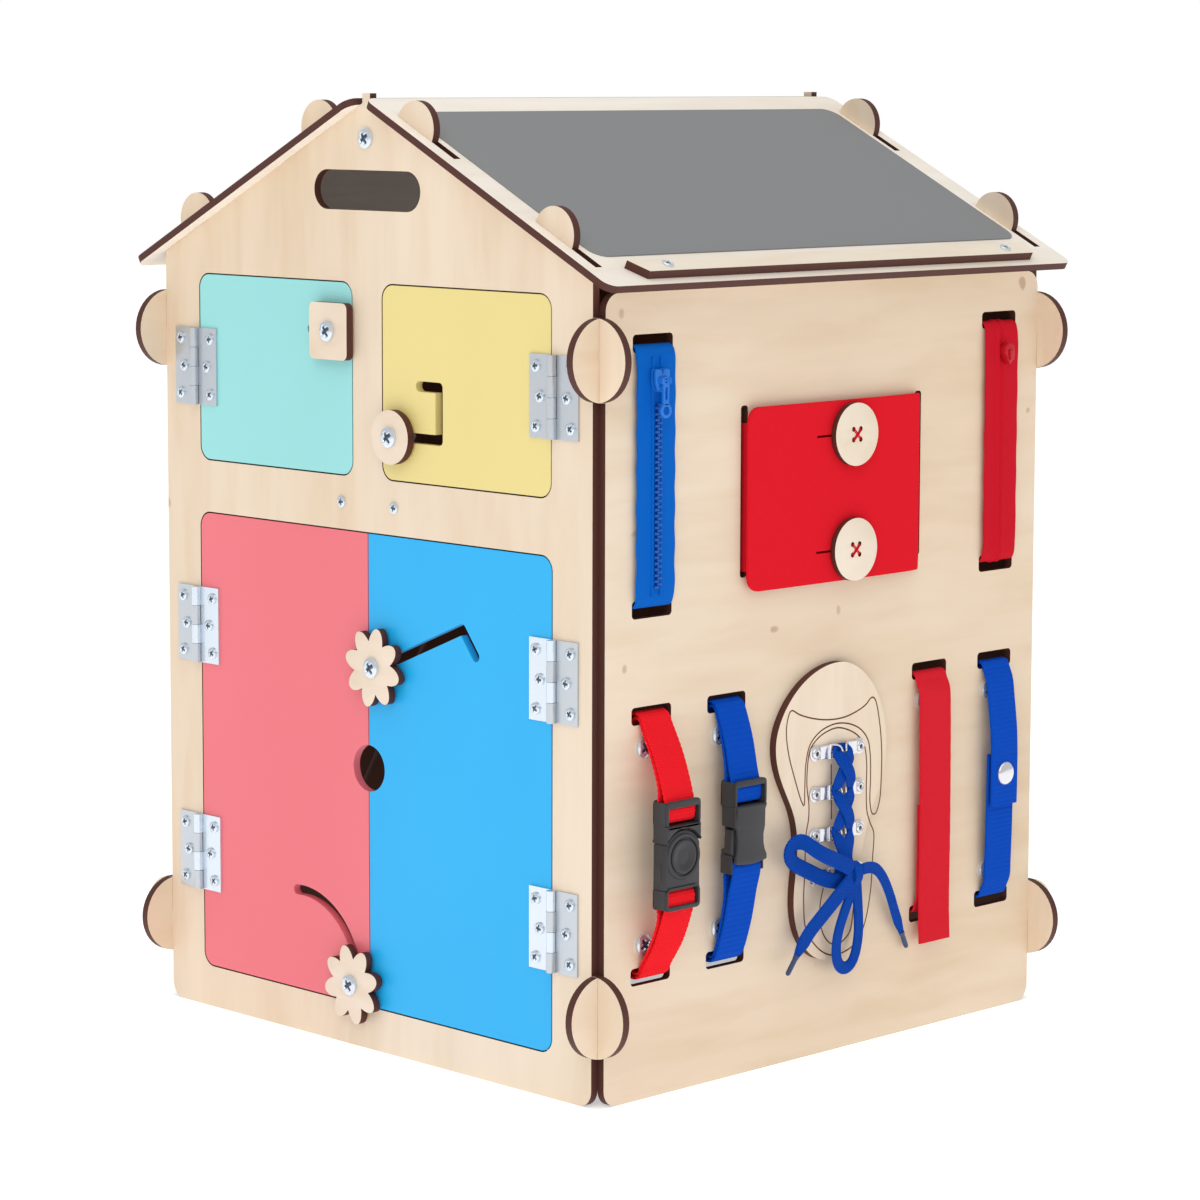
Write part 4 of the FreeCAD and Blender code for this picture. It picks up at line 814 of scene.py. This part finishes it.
def buckled(u, bar_out, upper_bar, lower_bar, rib, edge):
    """The two doubled straps of one buckle, each from its slot to its bar."""
    return [webbing(doubled(slot, down, bar_out, bar), u, rib, edge, BUCKLED_W)
            for slot, down, bar in ((UPPER_SLOT, -1, upper_bar), (LOWER_SLOT, 1, lower_bar))]


red_straps = buckled(RED_U, 15.0, 133.6, 96.4, (0.26, 1.3), (0.16, 2.6))
make("red_straps", red_straps, right, [red_web], ["red_webbing"])
blue_straps = buckled(BLUE_U, 10.0, 135.4, 102.6, (0.32, 2.7), (0.14, 2.7))
make("blue_straps", blue_straps, right, [blue_web], ["blue_webbing"])

hook_line = lead_in(UPPER_SLOT, -1) + [(3.7, 168), (4.3, 158), (4.6, 140), (4.9, 100), (4.8, 60), (5.4, 43.6)]
loop_line = lead_in(LOWER_SLOT, 1) + [(3.0, 67), (3.1, 78), (3.2, 100), (3.2, 112)]
hook = [webbing(hook_line, HOOK_U, edge=(0.05, 9), thick=1.6, width=22.6),
        webbing(loop_line, HOOK_U, thick=1.1, width=22.2)]
make("hook_loop_band", hook, right, [hook_red], ["hook_loop_strap"])

upper_line = lead_in(UPPER_SLOT, -1) + [(3.7, 168), (5.2, 158), (7.2, 140), (7.6, 121), (7.4, 105)]
lower_line = lead_in(LOWER_SLOT, 1) + [(3.7, 67.2), (4.2, 77), (4.7, 95), (5.0, 121), (4.9, 131)]
snap = [webbing(line, SNAP_U, (0.26, 2.3), (0.14, 2.3)) for line in (upper_line, lower_line)]
make("snap_bands", snap, right, [blue_web], ["snap_straps"])
stud = [(0.05, 5.6), (3.2, 5.6), (3.2, 8.3), (5.8, 8.3), (5.85, 8.7), (5.5, 9.3), (4.7, 9.9), (3.4, 10.4),
        (1.8, 10.65), (0.05, 10.75)]
make("press_stud_cap", [lathe(stud, (SNAP_U, 121))], right, [nickel], ["press_stud"], angle=60)

# %% [markdown]
# ## The two buckles
# Both are moulded in black plastic. The red straps end in a buckle with a round press button: the upper
# half ends in a hollow arc that goes round the disc of the lower half. The blue straps end in a side-
# release buckle with a narrow waist, two prongs at its sides and a lower frame that peeps out behind.
# Each half has a window with a bar for its strap, and the rim closes the window in front.

# %% Round-button buckle
BAR = 1.5                # radius of the bar that a strap turns round


def window_end(mid, half, z_low, z_high, rim, back, front_low, front_high, up):
    """The end that holds a strap: two side walls, a thin closed back, the bar and a rim across the front."""
    edge = z_high if up else z_low
    inner = edge - rim if up else edge + rim
    walls = [plate([block(mid + s * half, mid + s * (half - 1.3), z_low + 0.6, z_high - 0.6, 0.5)],
                   back, front_low + 0.2, 0.4) for s in (-1, 1)]
    floor = plate([block(mid - half, mid + half, z_low, z_high, 1.8)], back, back + 1.0, 0.3)
    bar_z = (z_low + z_high) / 2 + (0.6 if up else -0.6)
    bar = rod(mid - half + 0.6, mid + half - 0.6, bar_z, (back + front_low) / 2 + 0.4, BAR)
    outline = block(mid - half, mid + half, z_low, z_high, 2.6)
    hole_z = (z_low + 0.02, inner) if up else (inner, z_high - 0.02)
    hole = block(mid - half + 1.3, mid + half - 1.3, *hole_z, 0.9)
    return walls + [floor, bar, plate([outline, hole], front_low, front_high, 0.55, steps=4)]


MID, HALF_WIDE, BUTTON_Z = -119.9, 10.9, 114.8


def button_arc(radius, start, end, count):
    """Points round the middle of the button between two angles in degrees."""
    a = np.radians(np.linspace(start, end, count))
    return np.stack([MID + radius * np.cos(a), BUTTON_Z + radius * np.sin(a)], -1)


LEFT_SIDE, RIGHT_SIDE = MID - HALF_WIDE, MID + HALF_WIDE
upper_half = np.vstack([button_arc(13.0, 33.5, 146.5, 33), [(LEFT_SIDE, 121.4), (LEFT_SIDE, 129.4),
                                                            (RIGHT_SIDE, 129.4), (RIGHT_SIDE, 121.4)]])
socket = [plate([upper_half], 10.8, 20.0, 0.5)]
socket += window_end(MID, HALF_WIDE, 128.6, 140.8, 3.4, 10.6, 18.5, 20.0, True)
make("round_buckle_upper", socket, right, [black], ["red_strap_buckle_socket"])
lower_half = np.vstack([button_arc(12.1, 26, 154, 41), [(LEFT_SIDE, 100.2), (RIGHT_SIDE, 100.2)]])
ledge = np.array([(-11.2, 104.0), (-11.2, 112.4), (-10.4, 113.6), (-10.4, 102.8)]) + (MID, 0)
plug = [plate([lower_half], 10.8, 19.2, 0.7, steps=4), plate([ledge], 11.6, 16.0, 0.3)]
plug += window_end(MID, HALF_WIDE, 90.4, 100.6, 2.2, 10.6, 18.2, 19.8, False)
collar = [(0.05, 15.2), (8.6, 15.2), (8.7, 19.3), (9.0, 20.0), (10.1, 20.1), (10.6, 19.6), (10.7, 18.8),
          (10.7, 12.0), (0.05, 12.0)]
plug.append(lathe(collar, (MID, BUTTON_Z), 0, 64))
make("round_buckle_lower", plug, right, [black], ["red_strap_buckle_plug"])
press = [(0.05, 15.6), (7.9, 15.6), (7.95, 19.4), (7.7, 20.1), (7.2, 20.35), (6.2, 20.1), (4.5, 19.4),
         (2.2, 19.0), (0.05, 18.9)]
make("round_buckle_press", [lathe(press, (MID, BUTTON_Z), 0, 64)], right, [black],
     ["red_strap_buckle_button"], "buckle_button", 60)

# %% Side-release buckle
MID, HALF_WIDE = -70.6, 10.6
waist = [(10.6, 131.4), (-10.6, 131.4), (-10.6, 121.6), (-9.4, 120.6), (-8.8, 114), (-9.4, 109), (-10.2, 107),
         (-10.2, 104.6), (0, 103.0), (10.8, 104.6), (10.9, 107), (9.6, 109.4), (8.5, 113.4), (8.5, 116.6),
         (9.6, 120.2), (9.8, 128.6), (10.6, 129.8)]
waist_soft = [0.4, 0.4, 1.0, 1.0, 2.4, 1.2, 0.8, 0.9, 6.0, 0.9, 1.0, 1.2, 1.4, 1.4, 1.2, 0.7, 0.5]
outer = soft_corners([(MID + x, z) for x, z in waist], waist_soft)
core = block(MID - 8.6, MID + 8.6, 108.4, 130.6, 1.2)
socket = [plate([outer], 13.4, 15.4, 0.9, steps=4), plate([core], 6.2, 13.8, 0.5),
          plate([block(MID - HALF_WIDE, MID + HALF_WIDE, 121.6, 131.2, 0.8)], 6.2, 13.9, 0.6)]
socket += window_end(MID, HALF_WIDE, 130.4, 143.2, 3.0, 5.6, 13.6, 15.2, True)
make("side_buckle_socket", socket, right, [black], ["blue_strap_buckle_socket"])
prong = [(8.4, 108.0), (8.4, 120.6), (9.8, 120.8), (11.0, 117.6), (11.2, 111.0), (10.0, 107.8)]
plug = []
for sign in (-1, 1):
    outline = soft_corners([(MID + sign * x, z) for x, z in prong], 1.3)
    plug.append(plate([outline], 8.0, 13.2, 1.0, steps=4))
    plug.append(plate([block(MID + sign * 9.7, MID + sign * 10.9, 99.6, 108.6, 0.5)], 5.8, 13.0, 0.5))
plug.append(plate([block(MID - 10.5, MID + 10.5, 106.8, 111, 0.8)], 5.8, 8.4, 0.5))
plug.append(rod(MID - 10.4, MID + 10.4, 102.6, 10.0, BAR))
make("side_buckle_plug", plug, right, [black], ["blue_strap_buckle_plug"])

# %% [markdown]
# ## Zips
# The blue zip has moulded teeth on two rows that mesh below the slider and part a little above it. The
# red one is a coil zip whose two sides close as soft welts on a narrow seam. Both tapes are tucked
# through the slots at their ends and run flat between them.

# %% Zips
ZIP_U = 121.2            # the blue zip is this far to the left of the middle, the red one to the right


def zip_line(u):
    """The tape from its upper slot to its lower one, 2.2 mm off the wall between them."""
    flat = [(2.2, 335 - 9.8 * i) for i in range(11)]
    return smooth(upright(lead_in(346, -1) + flat + lead_in(226, 1)[::-1], u), 0.8)


tape = [strip(zip_line(-ZIP_U), (1, 0, 0), flat_section(24.4, 1.1, 13), edge=(0.22, 17))]
teeth = []
PITCH = 2.7
for i in range(31):
    z = 236 + PITCH * i
    part_by = 0.035 * max(z - 326, 0)
    for u, height in ((-122.0 - part_by, z), (-120.4 + part_by, z + PITCH / 2)):
        teeth.append(pebble((u, height, 3.55), (1.55, 0.72, 0.8), 1, 0.5, 12, 7))
welt = np.stack([np.full(60, 2.9), np.linspace(232, 340, 60)], -1)
teeth += [strip(upright(welt, x - ZIP_U), (1, 0, 0), flat_section(1.6, 0.9, 4)) for x in (-2.6, 2.6)]
make("blue_zip_tape", tape + teeth, right, [blue_tape, teeth_blue], ["blue_zip"])

half = flat_section(24.4, 1.1, 41)
from_seam = half[:, 0] - 0.9
bulge = 0.75 * np.exp(-((np.abs(from_seam) - 2.3) / 1.15) ** 2) - 0.35 * np.exp(-(from_seam / 0.5) ** 2)
half[:, 1] += np.where(half[:, 1] < 0, -bulge, bulge * 0.2)
red_zip_tape = [strip(zip_line(ZIP_U), (1, 0, 0), -half, edge=(0.15, 21))]
make("red_zip_tape", red_zip_tape, right, [red_tape], ["red_zip"])

# %% Sliders and pull
U, EYE_Z = -ZIP_U, 329.5
shield = [(-2.6, 324.3), (2.6, 324.3), (4.5, 328.5), (4.5, 334.6), (1.2, 334.6), (0, 332.2), (-1.2, 334.6),
          (-4.5, 334.6), (-4.5, 328.5)]
shield = soft_corners([(U + x, z) for x, z in shield], (1.2, 1.2, 1.4, 1.4, 0.4, 0.5, 0.4, 1.4, 1.4))
slider = [plate([shield], 4.9, 6.5, 0.5), plate([shield], 3.2, 3.9, 0.2)]
slider.append(pebble((U, 333.0, 4.6), (1.0, 0.8, 0.9)))
slider += [pebble((U + x, EYE_Z, 7.6), (0.5, 1.5, 1.5)) for x in (-2.4, 2.4)]
slider.append(rod(U - 2.7, U + 2.7, EYE_Z, 8.05, 0.6))
make("blue_slider_body", slider, right, [slider_blue], ["blue_zip_slider"], "blue_zip_slider")
blade = soft_corners([(U - 1.7, 318.2), (U + 1.7, 318.2), (U + 2.0, 331.2), (U - 2.0, 331.2)],
                     (0.5, 0.5, 1.9, 1.9))
pull_rims = [blade, circle(U, EYE_Z, 1.0, 20), block(U - 0.75, U + 0.75, 321, 326.6, 0.6)]
ring_rims = [circle(U, 316, 3.4, 40), circle(U, 316, 1.9, 28)]
pull = [plate(rims, 7.3, 8.8, 0.35) for rims in (pull_rims, ring_rims)]
make("blue_pull_tab", pull, right, [slider_blue], ["blue_zip_pull"], "blue_zip_pull")

low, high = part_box("red_zip_slider")
U = 121.6
top, bottom = high.z / MM, low.z / MM
w_low, w_high = ((corner.x / MM - HALF - SHIFT) for corner in (low, high))
side = [(2.8, top - 1.6), (3.3, top - 4.4), (1.9, bottom + 3.2)]
drop = [(U, top)] + [(U + x, z) for x, z in side] + [(U, bottom)] + [(U - x, z) for x, z in side[::-1]]
drop = smooth(drop, 0.5, closed=True)[:-1]
ridge = [(U - 1.3, bottom + 2.2), (U + 1.3, bottom + 2.2), (U + 1.6, top - 3), (U - 1.6, top - 3)]
ridge = soft_corners(ridge, 0.9)
parts = [plate([drop], max(w_low, 2.9), w_high - 1.6, 0.5), plate([ridge], w_high - 1.7, w_high - 0.2, 0.4)]
make("red_slider_body", parts, right, [slider_red], ["red_zip_slider"], "red_zip_slider")

# %% [markdown]
# ## Felt flap, button strip and wooden buttons
# The flap is a sheet of thick felt. It comes out of the slot on the right, bows over the strip and ends
# free on the left, with round corners and two slits for the buttons. The thinner strip under it comes out
# of the left slot and carries the buttons, which are sewn on with a cross of red thread.

# %% Felt
FLAP_Z, FLAP_TALL = 228, 85.5
STRIP_Z, STRIP_TALL = 237.0, 69.0


def sheet_piece(name, line, thick, rows, node, slits=()):
    """A sheet on a grid: line gives (out, u), rows(u, s) the two long edges; slit cells are left out."""
    path = smooth([(u, 0, out) for out, u in line], 0.9)
    s = arc(path)
    share = np.linspace(0, 1, 60)
    low, high = rows(path[:, 0], s[-1] - s)
    if slits:
        keep = [(z - FLAP_Z + d) / FLAP_TALL for z in slits for d in (-0.55, 0.55)]
        share = np.sort(np.concatenate([[x for x in share if min(abs(x - k) for k in keep) > 0.006], keep]))
    v = low[:, None] + (high - low)[:, None] * share[None]
    grid = np.stack([np.broadcast_to(path[:, :1], v.shape), v, np.broadcast_to(path[:, 2:], v.shape)], -1)
    n, m = v.shape
    i, j = np.meshgrid(np.arange(n - 1), np.arange(m - 1), indexing="ij")
    quads = np.stack([i * m + j, i * m + j + 1, (i + 1) * m + j + 1, (i + 1) * m + j], -1).reshape(-1, 4)
    if slits:
        u_mid = (path[:-1, 0] + path[1:, 0]) / 2
        v_mid = (v[:-1, :-1] + v[:-1, 1:]) / 2
        inside = (u_mid[:, None] > -16.5) & (u_mid[:, None] < 9.5)
        near = np.min([np.abs(v_mid - z) for z in slits], 0) < 0.5
        quads = quads[~(inside & near).ravel()]
    part = {"points": grid.reshape(-1, 3), "quads": quads, "faces": [], "number": 0,
            "uv": np.stack([np.broadcast_to(s[:, None], v.shape), v], -1).reshape(-1, 2)}
    piece = make(name, [part], right, [felt_red], [node])
    thicken = piece.modifiers.new("thickness", "SOLIDIFY")
    thicken.thickness = thick * MM
    thicken.offset = 0
    soften = piece.modifiers.new("edge", "BEVEL")
    soften.width = 0.35 * MM
    soften.segments = 2
    soften.limit_method = "ANGLE"
    soften.angle_limit = math.radians(50)
    return piece, s[-1], float(np.mean(high - low)) * s[-1]


def flap_rows(u, left):
    """Edges of the flap: full height outside, narrower in the slot, round corners of 7 mm at the free end."""
    t = np.clip((u - 59.4) / 1.4, 0, 1)
    t = t * t * (3 - 2 * t)
    x = np.clip(7 - left, 0, 7)
    corner = 7 - np.sqrt(49 - x ** 2)
    return FLAP_Z + 7.6 * t + corner, FLAP_Z + FLAP_TALL - 6.2 * t - corner


def strip_rows(u, left):
    return np.full(len(u), STRIP_Z), np.full(len(u), STRIP_Z + STRIP_TALL)


FLAP = [(-5.1, 30), (-5.1, 44), (-5.3, 55), (-5.3, 59.4), (-4.3, 61), (-2, 61.6), (0.2, 61), (1.7, 58.8),
        (3.0, 54), (3.7, 42), (4.2, 10), (4.2, -25), (3.8, -62.4)]
UNDER = [(-4.9, -30), (-4.9, -44), (-5.0, -54), (-4.9, -58.0), (-4.0, -59.4), (-2, -59.8), (0.0, -59.4),
         (1.1, -57.6), (1.1, -53), (1, -40), (1, -10), (1, 25)]
BUTTON_U, BUTTONS = 7.7, (242.6, 297.2)
flap, run, area = sheet_piece("felt_flap_sheet", FLAP, 1.7, flap_rows, "felt_flap", BUTTONS)
print("flap", round(run, 1), "x", FLAP_TALL, "mm")
under, run, _ = sheet_piece("button_strip_sheet", UNDER, 1.1, strip_rows, "button_strip")
print("strip", round(run, 1), "x", STRIP_TALL, "mm")

# %% Buttons
STEM = [(0.05, 1.5), (2.2, 1.5), (1.7, 3.5), (2.4, 5.65), (0.05, 5.65)]    # the thread behind a button
buttons = []
for z in BUTTONS:
    holes = [circle(BUTTON_U + a, z + b, 1.15, 20) for a in (-2.5, 2.5) for b in (-2.5, 2.5)]
    buttons.append(plate([circle(BUTTON_U, z, 15, 96)] + holes, 5.6, 8.6, 0.25))
    buttons.append(lathe(STEM, (BUTTON_U, z), 1, 16))
    t = np.linspace(-1, 1, 25)
    for sign in (-1, 1):
        for shift in (-0.28, 0.28):
            line = np.stack([BUTTON_U + 2.7 * t + shift, z + sign * (2.7 * t - shift),
                             8.75 + 0.12 * sign - 2.2 * np.abs(t) ** 12], -1)
            buttons.append(tube(line, 0.3, 1, 8, out=(0.05 * sign, 0.02, 1)))
make("buttons_and_thread", buttons, right, [wood_button, thread_red], ["wooden_buttons"])

# %% [markdown]
# ## Shoe
# The shoe is a board with laser-engraved seams. Eight lace loops are riveted on in four pairs: a round
# plate with a domed hollow rivet, a folded strap towards the middle and a wire ring in its fold. The lace
# runs across at the top, crosses twice and is knotted over the lowest pair.

# %% Engraved seams
def seam(points, closed=True, wide=0.7):
    """A fine line burnt into the board's face, a hair proud of it so that it is never hidden."""
    flat = smooth([(u, v, 4.02) for u, v in points], 0.7, closed=closed)
    return strip(flat, in_plane(flat), flat_section(wide, 0.12, 2))


VAMP = [(-32.8, 168.6), (-34.8, 163), (-35.0, 157.6), (-33.3, 148.7), (-29.2, 137.2), (-23.8, 124.6),
        (-22.4, 123.0), (-21.9, 131.9), (-21.3, 142.8), (-18.6, 151.4), (-12.4, 156.6), (-5.3, 159.0),
        (2.0, 159.6), (11.0, 157.9), (17.7, 154.6), (22.7, 149.2), (24.5, 141.6), (24.9, 130.4),
        (24.7, 118.4), (26.4, 112.8), (28.6, 112.4), (31.6, 118.3), (32.7, 129.3), (32.8, 142.8),
        (30.9, 157.5), (27.6, 168.2), (25.4, 169.4), (20.8, 166.3), (15.9, 164.3), (6.0, 162.1),
        (-5.4, 162.1), (-16.7, 164.0), (-26.0, 166.9), (-31.2, 169.4)]
EYESTAY = [(2.0, 157.4), (-6.4, 156.6), (-13.4, 153.8), (-18.4, 149.1), (-20.2, 140.6), (-20.4, 131.8),
           (-18.9, 122.7), (-19.1, 116.2), (-20.8, 108.7), (-21.4, 92.2), (-22.0, 75.7), (-20.2, 63.3),
           (-12.0, 53.1), (-3.8, 48.4), (4.4, 47.7), (14.3, 50.6), (20.9, 58.0), (25.6, 74.2),
           (27.0, 90.8), (27.6, 103.4), (25.0, 108.3), (22.6, 114.4), (21.9, 126.3), (22.0, 137.4),
           (20.2, 146.5), (14.6, 152.6)]
HEEL = [(-8.3, 81.4), (-10.3, 74.0), (-10.2, 65.1), (-7.2, 57.9), (-2.2, 53.5), (4.4, 53.0), (10.9, 57.3),
        (13.2, 67.0), (14.2, 78.1)]
TONGUE = [(-3.4, 140.5), (-3.2, 129.5), (-2.9, 113.9)]
seams = [seam(VAMP), seam(EYESTAY), seam(HEEL, False), seam(TONGUE, False)]
make("shoe_seams", seams, right, [engraved], ())

# %% Lace loops
ROWS = (87.6, 107.5, 127.5, 147.1)
MIDDLE = 0.3


def to_side(sign):
    """A function that measures from the middle of the shoe to one side."""
    return lambda x: MIDDLE + sign * x


DOME = [(0.05, 4.6), (2.7, 4.6), (2.75, 5.1), (2.3, 5.9), (1.6, 6.2), (1.05, 6.0), (0.85, 5.2), (0.05, 5.1)]
# a flat disc in the rivet's hollow, with the painted shade of its hole
EYE = [(0.05, 5.12), (0.86, 5.15), (0.86, 5.3), (0.05, 5.3)]
RING = [(6.8, 2.8, 5.7), (4.4, 3.2, 6.9), (2.2, 2.4, 8.2), (1.4, 0.3, 8.9), (2.2, -1.9, 8.4),
        (4.4, -2.9, 7.0), (6.8, -2.8, 5.7)]
loops = []
for v in ROWS:
    for sign in (-1, 1):
        at = to_side(sign)
        rivet = (at(15.5), v)
        loops.append(plate([circle(*rivet, 3.9, 40)], 4.0, 4.8, 0.2))
        loops.append(plate([block(at(13.0), at(6.4), v - 3.4, v + 3.4, 0.8)], 4.05, 5.7, 0.45))
        fold = np.stack([np.full(11, at(6.6)), v + np.linspace(-3.4, 3.4, 11), np.full(11, 5.6)], -1)
        loops.append(tube(fold, 1.0, out=(0, 0.01, 1)))
        loops += [lathe(DOME, rivet), lathe(EYE, rivet, 1, 24)]
        ring = smooth([(at(x), v + up, w) for x, up, w in RING], 0.5, closed=True)
        loops.append(tube(ring, 0.5, count=10, out=(0.02, 0.01, 1)))
make("lace_loop_clips", loops, right, [nickel, rivet_hole_shade], ["lace_loops"])

# %% Threaded lace and knot
def threaded(sign):
    """One end of the lace: across at the top, then from ring to ring, pinched in each, up to the knot."""
    spots = [(0, 148.6, 6.0), (-3.2, 148.4, 6.4), (-4.7, 146.9, 7.6), (-3.4, 144.6, 9.3),
             (1.2, 137.4, 10.2 + 0.7 * sign), (4.6, 131.4, 9.2), (5.6, 128.6, 7.8), (4.6, 126.2, 9.0),
             (-0.6, 117.6, 10.2 - 0.7 * sign), (-4.2, 111.4, 9.2), (-5.4, 108.6, 7.8), (-4.4, 106.2, 9.0),
             (-1.4, 99.0, 10.4), (0.8, 92.4, 11.8)]
    at = to_side(sign)
    line = smooth([(at(x), v, w) for x, v, w in spots], 0.6)
    pinch = np.ones(len(line))
    for v in ROWS[1:]:
        pinch -= 0.5 * np.exp(-((line[:, 1] - v - 0.9) / 2.4) ** 2)
    return strip(line, in_plane(line), flat_section(7.0, 1.4), (0.08, 1.2), (0.08, 1.2), pinch)


turn = full_turn(59)
knot = np.stack([2.6 + 0.9 * np.sin(turn), 88.0 + 5.3 * np.cos(turn), 13.0 + 3.3 * np.sin(turn)], -1)
second = np.stack([5.3 * np.cos(turn) + 3.6, 88.2 + 1.6 * np.cos(turn), 12.2 + 3.0 * np.sin(turn)], -1)
lace = [threaded(-1), threaded(1), strip(knot, (1, 0.1, 0), flat_section(5.2, 1.5), loop=True),
        strip(second, (-0.2, 1, 0), flat_section(4.6, 1.4), loop=True),
        pebble((2.8, 88.0, 12.4), (4.6, 4.3, 2.6), power=0.9)]
low_bar = [(-4.6, 88.6, 7.6), (-1.6, 87.6, 10.0), (2.4, 87.0, 11.0), (6.0, 87.6, 9.6), (8.2, 88.4, 7.4)]
low_bar = smooth(low_bar, 0.6)
lace.append(strip(low_bar, in_plane(low_bar), flat_section(5.0, 1.4)))
make("shoe_lace_braid", lace, right, [lace_blue], ["shoe_lace"])

# %% [markdown]
# ## Light and ground
# The photograph has soft light from all round with a little more from above, on a white ground.

# %% Light and ground
world = bpy.data.worlds.new("studio")
bpy.context.scene.world = world
world.use_nodes = True
tree = world.node_tree
tree.nodes.clear()
out, mixer, path = (tree.nodes.new("ShaderNode" + kind) for kind in ("OutputWorld", "MixShader", "LightPath"))
AMBIENT, BACKDROP = 0.61, 1.0
for index, strength in ((1, AMBIENT), (2, BACKDROP)):
    glow = tree.nodes.new("ShaderNodeBackground")
    glow.inputs["Color"].default_value = (1, 1, 1, 1)
    glow.inputs["Strength"].default_value = strength
    tree.links.new(glow.outputs[0], mixer.inputs[index])
tree.links.new(path.outputs["Is Camera Ray"], mixer.inputs[0])
tree.links.new(mixer.outputs[0], out.inputs[0])


def lamp(name, place, target, size, power):
    data = bpy.data.lights.new(name, "AREA")
    data.shape = "SQUARE"
    data.size = size
    data.energy = power
    piece = bpy.data.objects.new(name, data)
    piece.location = place
    aim = Vector(target) - Vector(place)
    piece.rotation_euler = aim.to_track_quat("-Z", "Y").to_euler()
    bpy.context.scene.collection.objects.link(piece)


lamp("key", (1.5, -2.2, 2.4), (0, 0, 0.2), 2.2, 21)
lamp("top", (0.4, -0.2, 3.0), (0, 0, 0.3), 2.4, 17)
ground_mesh = bpy.data.meshes.new("ground")
REACH = 6.0
corners = [(-REACH, -REACH, 0), (REACH, -REACH, 0), (REACH, REACH, 0), (-REACH, REACH, 0)]
ground_mesh.from_pydata(corners, [], [(0, 1, 2, 3)])
ground = bpy.data.objects.new("ground", ground_mesh)
ground_finish = Finish("ground", (0.93, 0.93, 0.93, 1), rough=0.95, gloss=0.0)
ground_finish.shader.inputs["Emission Color"].default_value = (1, 1, 1, 1)
GROUND_GLOW = 0.5
ground_finish.shader.inputs["Emission Strength"].default_value = GROUND_GLOW
ground_mesh.materials.append(ground_finish.material)
bpy.context.scene.collection.objects.link(ground)
bpy.context.scene.view_settings.view_transform = "Standard"
